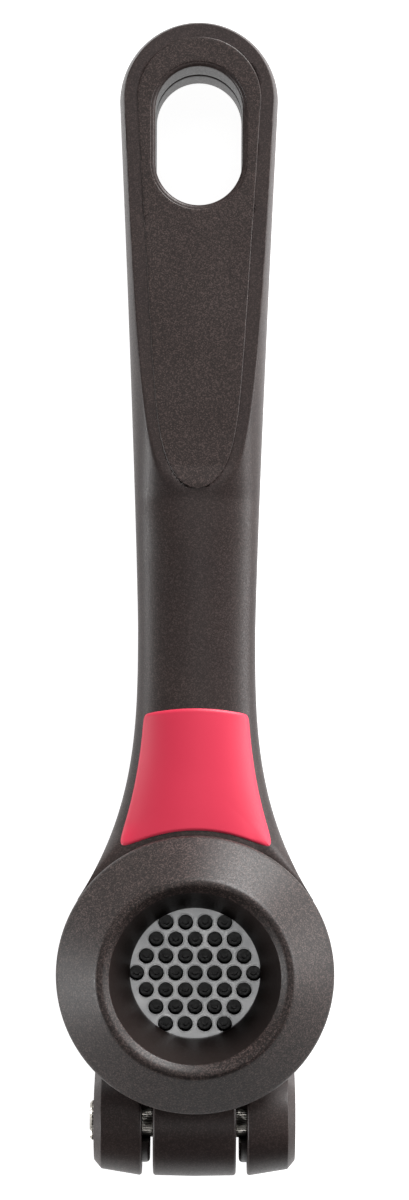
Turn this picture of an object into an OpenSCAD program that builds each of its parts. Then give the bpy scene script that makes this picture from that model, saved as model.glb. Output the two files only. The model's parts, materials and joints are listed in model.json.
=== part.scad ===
// Garlic press: two moulded levers, a perforated steel cup behind a funnel collar and a swinging plunger.
// Frame: +X across the levers, +Y from the hinge to the hanging hole, +Z from the rear lever to the front.
// The press lies closed on its rear lever at z = 0, centred on x = 0 and y = 0.

/* [Overall] */
// Length from the back of the knuckle to the tip of the levers
press_length = 208.5; // [180:0.1:252]
// Thickness of the rear lever
rear_t = 11; // [9.5:0.5:14]
// Thickness of the front lever
front_t = 12; // [10:0.5:15]
// Gap between the closed levers
lever_gap = 1; // [0.5:0.1:3]

/* [Levers] */
// Width of the levers at the narrowest place
neck_w = 21.2; // [18:0.2:26]
// Width of the paddles at the hanging hole
paddle_w = 28.5; // [23.5:0.1:36]
// Distance from the cup to the narrowest place
neck_run = 61.5; // [50:0.5:80]
// How much narrower the rear lever is on each side
rear_inset = 0.3; // [0:0.1:1]
// Wall round the hollow of each lever
lever_wall = 4; // [3.2:0.1:5]
// Length of the hollow of each lever
hollow_len = 96; // [60:1:110]
// Distance from the cup to the hollow
hollow_run = 33; // [30:0.5:45]
// Depth of the hollow under the liner
hollow_depth = 7; // [5:0.1:8]

/* [Hanging hole] */
// Width of the hanging hole
hang_w = 15.6; // [12:0.2:18]
// Length of the hanging hole
hang_len = 24.8; // [18:0.2:30]
// Material between the hanging hole and the tip
hang_rim = 8.4; // [6:0.2:12]

/* [Covers] */
// Distance from the paddle's edge to its cover
cover_inset = 3.1; // [2.2:0.1:4]
// Length of a cover from the middle of the paddle's end to its round tip
cover_len = 69.6; // [50:0.1:80]
// Share by which a cover narrows towards its tip
cover_taper = 0.39; // [0.2:0.01:0.5]
// Depth of a cover's pocket
cover_t = 2; // [1.6:0.1:2.4]
// Thickness of a liner
liner_t = 1.6; // [1.2:0.1:2]
// Width of the ledge that a liner sits on
liner_ledge = 0.9; // [0.6:0.1:1.2]

/* [Thumb pad] */
// Distance from the cup to the pad's upper edge
pad_run = 47.6; // [42:0.1:52]
// Gap between the collar's edge and the pad
pad_collar_gap = 1; // [0.8:0.1:3]
// Distance from the lever's side to the pad
pad_inset = 1.5; // [1.2:0.1:2.5]
// Depth of the pad's pocket under the lever's top
pad_t = 2.2; // [1.6:0.1:3]
// How far the pad stands proud
pad_proud = 0.3; // [0.1:0.1:0.8]

/* [Hinge] */
// Radius of the knuckle and of the ears
knuckle_r = 10; // [8.5:0.1:12]
// Width of the knuckle
knuckle_w = 15; // [12:0.1:18]
// Thickness of each ear
ear_t = 8.7; // [7:0.1:10]
// Height of each ear's inner boss
boss_h = 1.5; // [0.8:0.1:2]
// Radius of each ear's inner boss
boss_r = 7.5; // [5:0.1:8]
// Height of the hinge axis
hinge_z = 12; // [11:0.1:13.5]
// Distance from the hinge axis to the middle of the cup
hinge_to_cup = 27.8; // [26.5:0.1:30]
// Diameter of the hinge pin
pin_d = 6; // [4:0.1:7.2]
// Diameter of the pin's knurled head
pin_head_d = 7.2; // [6:0.1:9]
// How far the knurled head stands out of its ear
pin_head_out = 0.8; // [0.5:0.1:1.5]
// Solid end of the ear beyond the blind hole
ear_blind = 2.6; // [1.5:0.1:4]
// Distance from the hinge axis to the end of the arm that carries each ear
ear_arm_run = 12.7; // [12:0.1:14]

/* [Chamber] */
// Inner radius of the cup
cup_r = 13; // [11.5:0.1:15.6]
// Height of the cup
cup_h = 14.8; // [13:0.1:17]
// Wall of the cup
cup_wall = 0.8; // [0.6:0.1:1.2]
// Thickness of the perforated plate
sieve_t = 0.8; // [0.6:0.1:1.2]
// Width of the cup's flange
flange_w = 2.2; // [1.5:0.1:3]
// Thickness of the cup's flange
flange_t = 1; // [0.8:0.1:1.5]
// Outer radius of the ring that holds the cup
ring_r = 17.5; // [16.5:0.1:18]

/* [Sieve] */
// Distance between neighbouring holes
sieve_pitch = 3.5; // [3:0.05:3.8]
// Diameter of a hole
sieve_hole_d = 2.83; // [1.8:0.01:3]
// Rings of holes round the middle one
sieve_rings = 3; // [2:1:3]

/* [Funnel collar] */
// Outer radius of the collar
collar_r = 24.9; // [23:0.1:28]
// Height of the collar over its seat
collar_h = 9; // [6:0.1:12]
// Radius of the funnel at its rim
rim_r = 15.3; // [13.5:0.1:17]
// Width of the rounded lip
lip_w = 1.8; // [1:0.1:2.5]
// Radius of the funnel where it meets the plate
throat_r = 11.6; // [10.5:0.1:12.5]
// Height of the collar's outer edge
collar_edge = 1.3; // [0.8:0.1:2]
// Wall of the collar's hollow underside
collar_wall = 2; // [1.6:0.1:3]
// Thickness of the shoulder under the collar
shoulder_t = 2.4; // [2:0.1:3.5]
// How far the shoulder stays inside the collar's edge
shoulder_inset = 0.5; // [0.2:0.1:1]

/* [Plunger] */
// Thickness of the rear lever's head
head_t = 6.8; // [6:0.1:7.5]
// How far the rear lever's head stays inside the collar's edge
head_inset = 0.6; // [0.4:0.1:3]
// Thickness of the plunger's foot
foot_t = 1.7; // [1.2:0.1:2.5]
// Radius of the plunger's foot
foot_r = 9; // [8:0.1:10]
// Thickness of the plunger's crown
crown_t = 3; // [2:0.1:4]
// How far the crown narrows towards its lower edge, so that it swings clear of the cup's mouth
crown_taper = 1; // [0.8:0.1:2]
// Thickness of the pin plate
pin_plate_t = 1.5; // [1:0.1:2]
// Height of a cleaning pin
clean_pin_h = 2; // [1.5:0.1:3]
// Diameter of a cleaning pin
clean_pin_d = 2.4; // [1.4:0.1:2.6]
// Diameter of the dimple in a cleaning pin's end
dimple_d = 1.3; // [0.8:0.1:1.6]
// Thickness of the plunger's ribs
rib_t = 2.4; // [1.6:0.1:4]

/* [Fasteners] */
// Diameter of the plunger's screws
screw_d = 3; // [2.5:0.1:3.5]
// Diameter of the plunger screws' heads
screw_head_d = 5.6; // [5:0.1:6]
// Height of the plunger screws' heads
screw_head_h = 2; // [1.5:0.1:2.5]
// Distance of each plunger screw from the middle
screw_offset = 5; // [4:0.1:6]
// Diameter of the collar's and the liners' small screws
small_screw_d = 2.2; // [1.8:0.1:2.5]
// Diameter of the small screws' heads
small_head_d = 4; // [3.4:0.1:4.4]
// Height of the small screws' heads
small_head_h = 1.2; // [0.9:0.1:1.6]

/* [Fits] */
// Running clearance round the hinge pin
run_gap = 0.05; // [0.03:0.01:0.08]
// Clearance round a piece that is seated or pushed in
seat_gap = 0.1; // [0.05:0.05:0.2]
// Gap between the knuckle and each ear's boss
side_gap = 0.5; // [0.3:0.1:1]
// Clearance of the parts that swing past each other
swing_gap = 0.5; // [0.4:0.1:1]
// Clearance between the plunger and the cup
plunger_gap = 0.4; // [0.3:0.05:0.6]
// Gap between the cup's flange and the rear lever's head
mouth_gap = 0.4; // [0.3:0.1:1]
// Gap between the cleaning pins and the perforated plate
tip_gap = 1.5; // [0.8:0.1:2.5]

/* [Hidden] */

$fn = 96;
eps = 0.01;
far = 200;

body_colour = "#463f3d";
trim_colour = "#4c4543";
pad_colour = "#e0415c";
steel_colour = "#b9babb";
plastic_colour = "#3a3b3d";

// Places along the levers
hinge_y = -press_length / 2 + knuckle_r;
cup_y = hinge_y + hinge_to_cup;
neck_y = cup_y + neck_run;
tip_r = paddle_w / 2;
tip_y = press_length / 2 - tip_r;
hang_y = press_length / 2 - hang_rim - hang_len / 2;
hollow_y0 = cup_y + hollow_run;
hollow_y1 = min(hollow_y0 + hollow_len, hang_y - hang_len / 2 - lever_wall);

// Where the flared sides run into the collar's circle
join_run = 13.2;
join_y = cup_y + join_run;
join_half = sqrt(collar_r * collar_r - join_run * join_run);
head_r = collar_r - head_inset;

// Heights
front_bot = rear_t + lever_gap;
front_top = front_bot + front_t;
flange_bot = head_t + mouth_gap;
ring_bot = flange_bot + flange_t;
cup_top = flange_bot + cup_h;
shoulder_bot = max(hinge_z + knuckle_r + swing_gap + seat_gap, cup_top + seat_gap);
collar_seat = shoulder_bot + shoulder_t;
rim_z = collar_seat + collar_h;
pin_tip = cup_top - sieve_t - tip_gap;
plate_top = pin_tip - clean_pin_h;
crown_top = plate_top - pin_plate_t;
crown_bot = crown_top - crown_t;
cover_floor = front_top - cover_t;
pad_floor = front_top - pad_t;

// Widths at the hinge
ear_in = knuckle_w / 2 + side_gap + boss_h;
ear_out = ear_in + ear_t;
pin_blind_x = ear_out - ear_blind;

// The plunger's reach from the hinge axis, and the plunger's radius
reach_gap = 0.3;
plunger_reach = hinge_to_cup + cup_r - reach_gap;
plunger_r = cup_r - plunger_gap;

// The collar's screws stand between the ring and the shoulder's edge, a little nearer the ring
collar_screw_shift = 0.6;
collar_screw_r = (ring_r + collar_r - shoulder_inset) / 2 - collar_screw_shift;
collar_screw_angles = [90, 210, 330];
collar_screw_bite = 2.6;
screw_land = 1.2;
plunger_screw_sink = 0.6;
liner_screw_from_head = 14;
liner_screw_from_tip = 12;
liner_screws_y = [hollow_y0 + liner_screw_from_head, hollow_y1 - liner_screw_from_tip];

// Half the lever's width at y: a gentle taper to the paddle, a cubic flare and the collar's circle
taper_power = 1.22;
function half_w(y) =
  y >= tip_y ? tip_r
  : y >= neck_y ? neck_w / 2 + (tip_r - neck_w / 2) * pow((y - neck_y) / (tip_y - neck_y), taper_power)
  : y >= join_y ? neck_w / 2 + (join_half - neck_w / 2) * pow((neck_y - y) / (neck_y - join_y), 3)
  : sqrt(collar_r * collar_r - pow(y - cup_y, 2));

function clamp01(t) = min(max(t, 0), 1);
function smooth(t) = clamp01(t) * clamp01(t) * (3 - 2 * clamp01(t));
function signed_pow(v, p) = sign(v) * pow(abs(v), p);

// Share of the way from the narrowest place to the collar
function to_head(y) = clamp01((neck_y - y) / (neck_y - join_y));

// Lowest and highest z of each lever at y: both thin out or rise over the last part of the way to the head
head_rise = 0.8;
head_depth = 3.6;
front_rise_from = 0.45;
rear_drop_from = 0.55;
rear_drop_over = 0.3;
function front_lo(y) = front_bot + (shoulder_bot - head_depth - front_bot)
  * smooth((to_head(y) - front_rise_from) / (1 - front_rise_from));
function front_hi(y) = front_top + (collar_seat + head_rise - front_top) * pow(to_head(y), 2);
function rear_hi(y) = rear_t - (rear_t - head_t) * smooth((to_head(y) - rear_drop_from) / rear_drop_over);

// One section of a lever: a superellipse with flat upper and lower strips
section_n = 16;
section_power = 5;
function section(y, half, lo, hi) =
  let (norm = pow(cos(180 / section_n), 2 / section_power))
  [for (i = [0 : section_n - 1])
    let (a = (i + 0.5) * 360 / section_n)
    [
      half / norm * signed_pow(cos(a), 2 / section_power),
      y,
      (lo + hi) / 2 + (hi - lo) / 2 / norm * signed_pow(sin(a), 2 / section_power)
    ]
  ];

// Stations of a lever: its length, then its round end
flare_steps = 16;
taper_steps = 10;
end_steps = 9;
lever_start = join_y - 2;
lever_ys = concat(
  [lever_start],
  [for (i = [0 : flare_steps - 1]) join_y + (neck_y - join_y) * i / flare_steps],
  [for (i = [0 : taper_steps]) neck_y + (tip_y - neck_y) * i / taper_steps]
);
function end_half(i, inset) = max((tip_r - inset) * cos(90 * i / end_steps), 0.5);
function end_y(i, inset) = tip_y + (tip_r - inset) * sin(90 * i / end_steps);
function end_squash(i) = pow(max(cos(90 * i / end_steps), 0.02), 0.18);

// Solid through a list of closed rings, each with section_n points
module skin(rings) {
  n = section_n;
  m = len(rings);
  sides = [for (j = [0 : m - 2], i = [0 : n - 1], k = [0, 1])
    let (a = j * n + i, b = j * n + (i + 1) % n)
    k == 0 ? [a, b, b + n] : [a, b + n, a + n]
  ];
  low_cap = [for (i = [1 : n - 2]) [0, i + 1, i]];
  high_cap = [for (i = [1 : n - 2]) [(m - 1) * n, (m - 1) * n + i, (m - 1) * n + i + 1]];
  points = [for (r = rings, p = r) p];
  polyhedron(points = points, faces = concat(sides, low_cap, high_cap));
}

// The front lever's outer form, raised by lift
module front_form(lift = 0) {
  mid = (front_bot + front_top) / 2;
  half_t = front_t / 2;
  skin(concat(
    [for (y = lever_ys) section(y, half_w(y), front_lo(y), front_hi(y) + lift)],
    [for (i = [1 : end_steps]) let (half_z = half_t * end_squash(i))
      section(end_y(i, 0), end_half(i, 0), mid - half_z, mid + half_z + lift)]
  ));
}

// The rear lever's outer form
module rear_form() {
  skin(concat(
    [for (y = lever_ys) section(y, half_w(y) - rear_inset - head_inset * to_head(y), 0, rear_hi(y))],
    [for (i = [1 : end_steps])
      section(end_y(i, rear_inset), end_half(i, rear_inset),
        rear_t / 2 * (1 - end_squash(i)), rear_t / 2 * (1 + end_squash(i)))]
  ));
}

// Plan with a half-width given at each place
module plan(ys, halves) {
  n = len(ys);
  right = [for (i = [0 : n - 1]) [halves[i], ys[i]]];
  left = [for (i = [n - 1 : -1 : 0]) [-halves[i], ys[i]]];
  polygon(concat(right, left));
}

// Plan of a cover: round at the tip of the paddle, then narrowing to a rounded end on the neck
cover_steps = 20;
cover_sink = 0.2;
function cover_half(u) = (tip_r - cover_inset) * (1 - cover_taper * u) * sqrt(1 - pow(u, 12));
module cover_plan(gap = 0) {
  us = [for (i = [cover_steps : -1 : 0]) sin(90 * i / cover_steps)];
  span = cover_len - gap;
  ys = [for (u = us) tip_y - span * u];
  halves = [for (u = us) max(cover_half(u) - gap, 0.3)];
  plan(ys, halves);
  translate([0, tip_y]) circle(r = tip_r - cover_inset - gap);
}

// Plan of a lever's hollow, or of its liner with a ledge and a gap
hollow_steps = 14;
module hollow_plan(grow = 0) {
  y0 = hollow_y0 - grow;
  y1 = hollow_y1 + grow;
  ys = [for (i = [0 : hollow_steps]) y0 + (y1 - y0) * i / hollow_steps];
  plan(ys, [for (y = ys) min(half_w(y) - lever_wall, neck_w / 2) + grow - liner_ledge]);
}

// Hanging hole through everything
module hang_cut() {
  run = (hang_len - hang_w) / 2;
  translate([0, hang_y, -eps]) linear_extrude(far) {
    translate([0, run]) circle(d = hang_w);
    translate([0, -run]) circle(d = hang_w);
    square([hang_w, 2 * run], center = true);
  }
}

// Plan of the thumb pad
pad_steps = 8;
pad_flare = 0.035;
module pad_plan(gap = 0) {
  y1 = cup_y + pad_run - gap;
  y0 = cup_y + join_run;
  ys = [for (i = [0 : pad_steps]) y0 + (y1 - y0) * i / pad_steps];
  difference() {
    plan(ys, [for (y = ys) half_w(y) - pad_inset - gap - pad_flare * (y1 - y)]);
    translate([0, cup_y]) circle(r = collar_r + pad_collar_gap + gap);
  }
}

// Rod along X from x0 to x1 on the hinge axis
module axle(r, x0, x1) {
  translate([x0, hinge_y, hinge_z]) rotate([0, 90, 0]) cylinder(r = r, h = x1 - x0);
}

// A screw standing head down at the origin, with its seat at z = 0
module screw(d, len, head_d, head_h) {
  translate([0, 0, -head_h]) cylinder(d = head_d, h = head_h);
  translate([0, 0, -eps]) cylinder(d = d, h = len);
}

module at_collar_screws() {
  for (a = collar_screw_angles) {
    translate([collar_screw_r * cos(a), cup_y + collar_screw_r * sin(a), 0]) children();
  }
}

module at_plunger_screws() {
  for (side = [-1, 1]) {
    translate([side * screw_offset, cup_y, 0]) children();
  }
}

module at_liner_screws() {
  for (y = liner_screws_y) {
    translate([0, y, 0]) children();
  }
}

// Hollow of a lever with its liner's seat and screw posts, opening downwards at z = 0
post_r = 2.6;
small_screw_len = 5;
head_sink = 0.2;
module hollow_cut(depth) {
  difference() {
    translate([0, 0, liner_t - eps]) linear_extrude(depth - liner_t) hollow_plan();
    at_liner_screws() translate([0, 0, liner_t]) cylinder(r = post_r, h = depth);
  }
  translate([0, 0, -1]) linear_extrude(1 + liner_t) hollow_plan(liner_ledge);
  at_liner_screws() cylinder(d = small_screw_d, h = liner_t + small_screw_len);
}

// Liner blank with its screw holes, outer face at z = 0
module liner_blank() {
  difference() {
    translate([0, 0, -1]) linear_extrude(1 + liner_t - eps) hollow_plan(liner_ledge - seat_gap);
    at_liner_screws() {
      translate([0, 0, -1]) cylinder(d = small_head_d + 2 * seat_gap, h = 1 + small_head_h);
      cylinder(d = small_screw_d + 2 * seat_gap, h = 2 * liner_t);
    }
  }
}

module liner_screw_set() {
  shank = liner_t - small_head_h + small_screw_len - seat_gap;
  at_liner_screws() translate([0, 0, small_head_h])
    screw(small_screw_d, shank, small_head_d, small_head_h - head_sink);
}

// One ear: a slightly tapered barrel with a cut-off outer edge
ear_taper = 1.3;
ear_edge = 1.3;
ear_edge_drop = 1.6;
ear_chamfer = 0.4;
arm_r = knuckle_r - ear_taper;
module ear() {
  translate([0, hinge_y, hinge_z]) rotate([0, 90, 0]) rotate_extrude() polygon([
    [0, ear_in],
    [knuckle_r - ear_chamfer, ear_in],
    [knuckle_r - ear_chamfer / 4, ear_in + ear_chamfer],
    [arm_r, ear_out - ear_edge],
    [arm_r - ear_edge_drop, ear_out],
    [0, ear_out]
  ]);
  ear_arm();
}

// Arm of an ear, seen along the hinge: from the barrel's tangent down to the head, with a flat foot
module ear_arm() {
  drop = head_t - hinge_z;
  tangent = acos(arm_r / norm([ear_arm_run, drop])) + atan2(drop, ear_arm_run);
  translate([ear_in, hinge_y, hinge_z]) rotate([90, 0, 90]) linear_extrude(ear_t - ear_edge) polygon([
    [0, 0],
    [arm_r * cos(tangent), arm_r * sin(tangent)],
    [ear_arm_run, drop],
    [ear_arm_run, -hinge_z],
    [-arm_r / 2, -hinge_z],
    [-arm_r / 2, 0]
  ]);
}

// Boss on an ear's inner face, cut open above the pin
module ear_boss() {
  difference() {
    axle(boss_r, ear_in - boss_h, ear_in);
    translate([0, hinge_y - pin_d / 2 - seat_gap, hinge_z]) cube([far, pin_d + 2 * seat_gap, far]);
  }
}

module rear_frame() {
  color(body_colour) difference() {
    union() {
      rear_form();
      translate([0, cup_y, 0]) cylinder(r = head_r, h = head_t);
      for (side = [0, 1]) mirror([side, 0, 0]) {
        ear();
        ear_boss();
      }
    }
    translate([0, 0, rear_t]) mirror([0, 0, 1]) hollow_cut(hollow_depth);
    translate([0, 0, -1]) linear_extrude(1 + cover_t) cover_plan();
    hang_cut();
    // Fork for the knuckle
    translate([-knuckle_w / 2 - side_gap, hinge_y - knuckle_r - 1, -1])
      cube([knuckle_w + 2 * side_gap, 2 * knuckle_r + 1 + swing_gap, head_t + 2]);
    // Pin holes: through the left ear, blind in the right one
    axle(pin_head_d / 2, -ear_out - 1, -ear_in);
    axle(pin_d / 2, -ear_in - eps, pin_blind_x);
    at_plunger_screws() {
      translate([0, 0, -1])
        cylinder(d = screw_head_d + 2 * seat_gap, h = 1 + screw_head_h + plunger_screw_sink);
      cylinder(d = screw_d + 2 * seat_gap, h = far / 10);
    }
  }
}

module rear_cover() {
  color(trim_colour) difference() {
    intersection() {
      rear_form();
      translate([0, 0, cover_sink]) linear_extrude(cover_t - cover_sink - seat_gap) cover_plan(seat_gap);
    }
    hang_cut();
  }
}

module rear_liner() {
  color(trim_colour) intersection() {
    rear_form();
    translate([0, 0, rear_t]) mirror([0, 0, 1]) liner_blank();
  }
}

module rear_liner_screws() {
  color(steel_colour) translate([0, 0, rear_t]) mirror([0, 0, 1]) liner_screw_set();
}

plunger_boss_wall = 2;
module plunger() {
  boss_half = screw_d / 2 + plunger_boss_wall;
  color(plastic_colour) difference() {
    intersection() {
      translate([0, cup_y, 0]) {
        translate([0, 0, head_t]) cylinder(r = foot_r, h = foot_t);
        translate([0, 0, crown_bot]) cylinder(r1 = plunger_r - crown_taper, r2 = plunger_r, h = crown_t);
        for (a = [0, 60, 120]) rotate(a) {
          translate([-foot_r, -rib_t / 2, head_t]) cube([2 * foot_r, rib_t, crown_bot - head_t + eps]);
        }
        for (side = [-1, 1]) {
          translate([side * screw_offset, 0, head_t]) cylinder(r = boss_half, h = crown_bot - head_t + eps);
        }
      }
      axle(plunger_reach, -far / 2, far / 2);
    }
    at_plunger_screws() cylinder(d = screw_d, h = crown_top - screw_land);
  }
}

// Places of the holes and of the pins behind them, in rows a sixth of a turn apart
sieve_spots = [for (q = [-sieve_rings : sieve_rings], r = [-sieve_rings : sieve_rings])
  if (abs(q + r) <= sieve_rings) [sieve_pitch * (q + r / 2), sieve_pitch * r * sqrt(3) / 2]];

module at_sieve_spots() {
  for (p = sieve_spots) translate([p[0], cup_y + p[1], 0]) children();
}

dimple_depth = 0.9;
module pin_plate() {
  color(plastic_colour) difference() {
    union() {
      intersection() {
        translate([0, cup_y, crown_top]) cylinder(r = plunger_r, h = pin_plate_t);
        axle(plunger_reach, -far / 2, far / 2);
      }
      at_sieve_spots() translate([0, 0, plate_top - eps])
        cylinder(d = clean_pin_d, h = clean_pin_h + eps, $fn = 32);
    }
    at_sieve_spots() translate([0, 0, pin_tip - dimple_depth])
      cylinder(d = dimple_d, h = 2 * dimple_depth, $fn = 24);
  }
}

module plunger_screws() {
  seat = screw_head_h + plunger_screw_sink;
  color(steel_colour) at_plunger_screws() translate([0, 0, seat])
    screw(screw_d, crown_top - screw_land - seat_gap - seat, screw_head_d, screw_head_h);
}

// The pin's head ends in a small step
pin_step = 0.3;
module hinge_pin() {
  color(steel_colour) {
    axle(pin_d / 2, -ear_in - eps, pin_blind_x - seat_gap);
    axle(pin_head_d / 2, -ear_out - pin_head_out + pin_step, -ear_in);
    axle(pin_head_d / 2 - pin_step, -ear_out - pin_head_out, -ear_in);
  }
}

shoulder_r = collar_r - shoulder_inset;
seat_ledge = 1;
module front_frame() {
  color(body_colour) difference() {
    union() {
      front_form();
      // Ring round the cup, with a cone up to the shoulder
      translate([0, cup_y, 0]) rotate_extrude() polygon([
        [0, ring_bot],
        [ring_r, ring_bot],
        [ring_r, shoulder_bot - (shoulder_r - ring_r)],
        [shoulder_r, shoulder_bot],
        [shoulder_r, collar_seat],
        [0, collar_seat]
      ]);
      axle(knuckle_r, -knuckle_w / 2, knuckle_w / 2);
      translate([-knuckle_w / 2, hinge_y, ring_bot])
        cube([knuckle_w, hinge_to_cup - cup_r, shoulder_bot - ring_bot + eps]);
    }
    // Room for the ears and their bosses to swing past
    for (side = [0, 1]) mirror([side, 0, 0]) {
      axle(knuckle_r + swing_gap, knuckle_w / 2 + eps, far / 2);
    }
    // Seats of the collar and the cup
    translate([0, cup_y, collar_seat]) cylinder(r = collar_r + seat_gap, h = far);
    translate([0, cup_y, cup_top + seat_gap]) cylinder(r = ring_r - seat_ledge, h = far);
    translate([0, cup_y, -1]) cylinder(r = cup_r + cup_wall + seat_gap, h = far);
    at_collar_screws() {
      cylinder(d = small_head_d + 2 * seat_gap, h = shoulder_bot);
      cylinder(d = small_screw_d + 2 * seat_gap, h = far);
    }
    axle(pin_d / 2 + run_gap, -far / 2, far / 2);
    translate([0, 0, front_bot]) hollow_cut(hollow_depth);
    translate([0, 0, cover_floor]) linear_extrude(far) cover_plan();
    translate([0, 0, pad_floor]) linear_extrude(far) pad_plan();
    hang_cut();
  }
}

module front_cover() {
  color(trim_colour) difference() {
    intersection() {
      front_form();
      translate([0, 0, cover_floor + seat_gap]) linear_extrude(far) cover_plan(seat_gap);
    }
    hang_cut();
  }
}

module front_liner() {
  color(trim_colour) intersection() {
    front_form();
    translate([0, 0, front_bot]) liner_blank();
  }
}

module front_liner_screws() {
  color(steel_colour) translate([0, 0, front_bot]) liner_screw_set();
}

module thumb_pad() {
  color(pad_colour) intersection() {
    front_form(pad_proud);
    translate([0, 0, pad_floor + seat_gap]) linear_extrude(far) pad_plan(seat_gap);
  }
}

// Height of the collar's cone over its seat at radius r, between its rounded inner and outer edges
edge_round = 0.5;
cone_r0 = rim_r + lip_w;
cone_r1 = collar_r - edge_round;
function cone_z(r) = collar_seat + collar_edge
  + (collar_h - edge_round - collar_edge) * (cone_r1 - r) / (cone_r1 - cone_r0);

// The collar: funnel, rounded lip, cone, edge, hollow underside and the spigot that presses on the cup
throat_h = 0.8;
lip_drop = 1.6;
groove_gap = 0.4;
collar_boss_wall = 1;
module funnel_collar() {
  groove_r0 = ring_r + groove_gap;
  groove_r1 = collar_r - collar_wall;
  spigot_r = ring_r - seat_ledge - seat_gap;
  spigot_z = cup_top + seat_gap;
  boss_half = small_screw_d / 2 + collar_boss_wall;
  color(body_colour) difference() {
    union() {
      translate([0, cup_y, 0]) rotate_extrude() polygon([
        [throat_r, spigot_z],
        [throat_r, spigot_z + throat_h],
        [rim_r, rim_z - lip_drop],
        [rim_r + edge_round / 2, rim_z - edge_round],
        [rim_r + lip_w / 2, rim_z],
        [cone_r0, cone_z(cone_r0)],
        [cone_r1, cone_z(cone_r1)],
        [collar_r, collar_seat + collar_edge - edge_round],
        [collar_r, collar_seat],
        [groove_r1, collar_seat],
        [groove_r1, cone_z(groove_r1) - collar_wall / 2],
        [groove_r0, cone_z(groove_r0) - collar_wall],
        [groove_r0, collar_seat],
        [spigot_r, collar_seat],
        [spigot_r, spigot_z]
      ]);
      at_collar_screws() translate([0, 0, collar_seat])
        cylinder(r = boss_half, h = cone_z(collar_screw_r + boss_half) - collar_seat - collar_wall / 4);
    }
    at_collar_screws() translate([0, 0, collar_seat - 1])
      cylinder(d = small_screw_d, h = 1 + collar_screw_bite + seat_gap);
  }
}

module collar_screws() {
  color(steel_colour) at_collar_screws() translate([0, 0, shoulder_bot])
    screw(small_screw_d, shoulder_t + collar_screw_bite, small_head_d, small_head_h);
}

// The pressed cup: perforated end, wall with a bevelled corner and a flange under the ring
cup_bevel = 0.6;
module sieve_cup() {
  outer = cup_r + cup_wall;
  color(steel_colour) difference() {
    translate([0, cup_y, 0]) rotate_extrude() polygon([
      [0, cup_top],
      [outer - cup_bevel, cup_top],
      [outer, cup_top - cup_bevel],
      [outer, ring_bot],
      [outer + flange_w, ring_bot],
      [outer + flange_w, flange_bot],
      [cup_r, flange_bot],
      [cup_r, cup_top - sieve_t],
      [0, cup_top - sieve_t]
    ]);
    at_sieve_spots() translate([0, 0, cup_top - 2 * sieve_t])
      cylinder(d = sieve_hole_d, h = 3 * sieve_t, $fn = 32);
  }
}

rear_frame();
rear_cover();
rear_liner();
rear_liner_screws();
plunger();
pin_plate();
plunger_screws();
hinge_pin();
front_frame();
front_cover();
front_liner();
front_liner_screws();
thumb_pad();
funnel_collar();
collar_screws();
sieve_cup();
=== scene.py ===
"""Looks of a garlic press: two moulded nylon levers, a soft thumb pad, a funnel collar and a steel cup.

Lengths inside the classes are millimetres in the press's own frame: +X across the levers, +Y from the hinge
to the hanging hole and +Z from the rear lever up to the funnel. MeshMaker turns them into metres.
"""

from __future__ import annotations

import json
import logging
import math
from dataclasses import dataclass, replace
from enum import Enum

import bpy
import numpy as np
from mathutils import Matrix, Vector


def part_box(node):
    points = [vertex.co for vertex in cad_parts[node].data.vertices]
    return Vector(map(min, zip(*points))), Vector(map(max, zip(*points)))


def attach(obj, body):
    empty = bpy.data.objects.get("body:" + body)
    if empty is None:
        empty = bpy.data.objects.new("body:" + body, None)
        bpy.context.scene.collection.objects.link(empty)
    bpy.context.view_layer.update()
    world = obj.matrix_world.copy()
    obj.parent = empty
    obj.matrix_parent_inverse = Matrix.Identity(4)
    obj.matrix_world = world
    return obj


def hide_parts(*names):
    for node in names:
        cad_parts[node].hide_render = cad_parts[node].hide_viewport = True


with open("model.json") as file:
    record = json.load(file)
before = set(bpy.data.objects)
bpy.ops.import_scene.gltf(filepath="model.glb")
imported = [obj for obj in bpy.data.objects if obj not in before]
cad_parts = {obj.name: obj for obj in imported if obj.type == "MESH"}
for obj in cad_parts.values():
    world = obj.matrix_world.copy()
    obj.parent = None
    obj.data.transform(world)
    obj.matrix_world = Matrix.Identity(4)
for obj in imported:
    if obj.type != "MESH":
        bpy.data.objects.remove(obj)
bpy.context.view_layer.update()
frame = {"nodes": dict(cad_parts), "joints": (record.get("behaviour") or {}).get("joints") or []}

MM = 0.001
LOG = logging.getLogger("garlic_press")
REAR = "rear_lever"
FRONT = "front_lever"
# Edges that turn by more than this stay sharp
CREASE_DEG = 40.0
# Points closer than this many metres become one
MERGE = 2e-6
# A rounded corner takes at most this share of either of its sides
CORNER_SHARE = 0.49
# Smallest divisor
TINY = 1e-9


# ---------------------------------------------------------------- shapes


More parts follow.
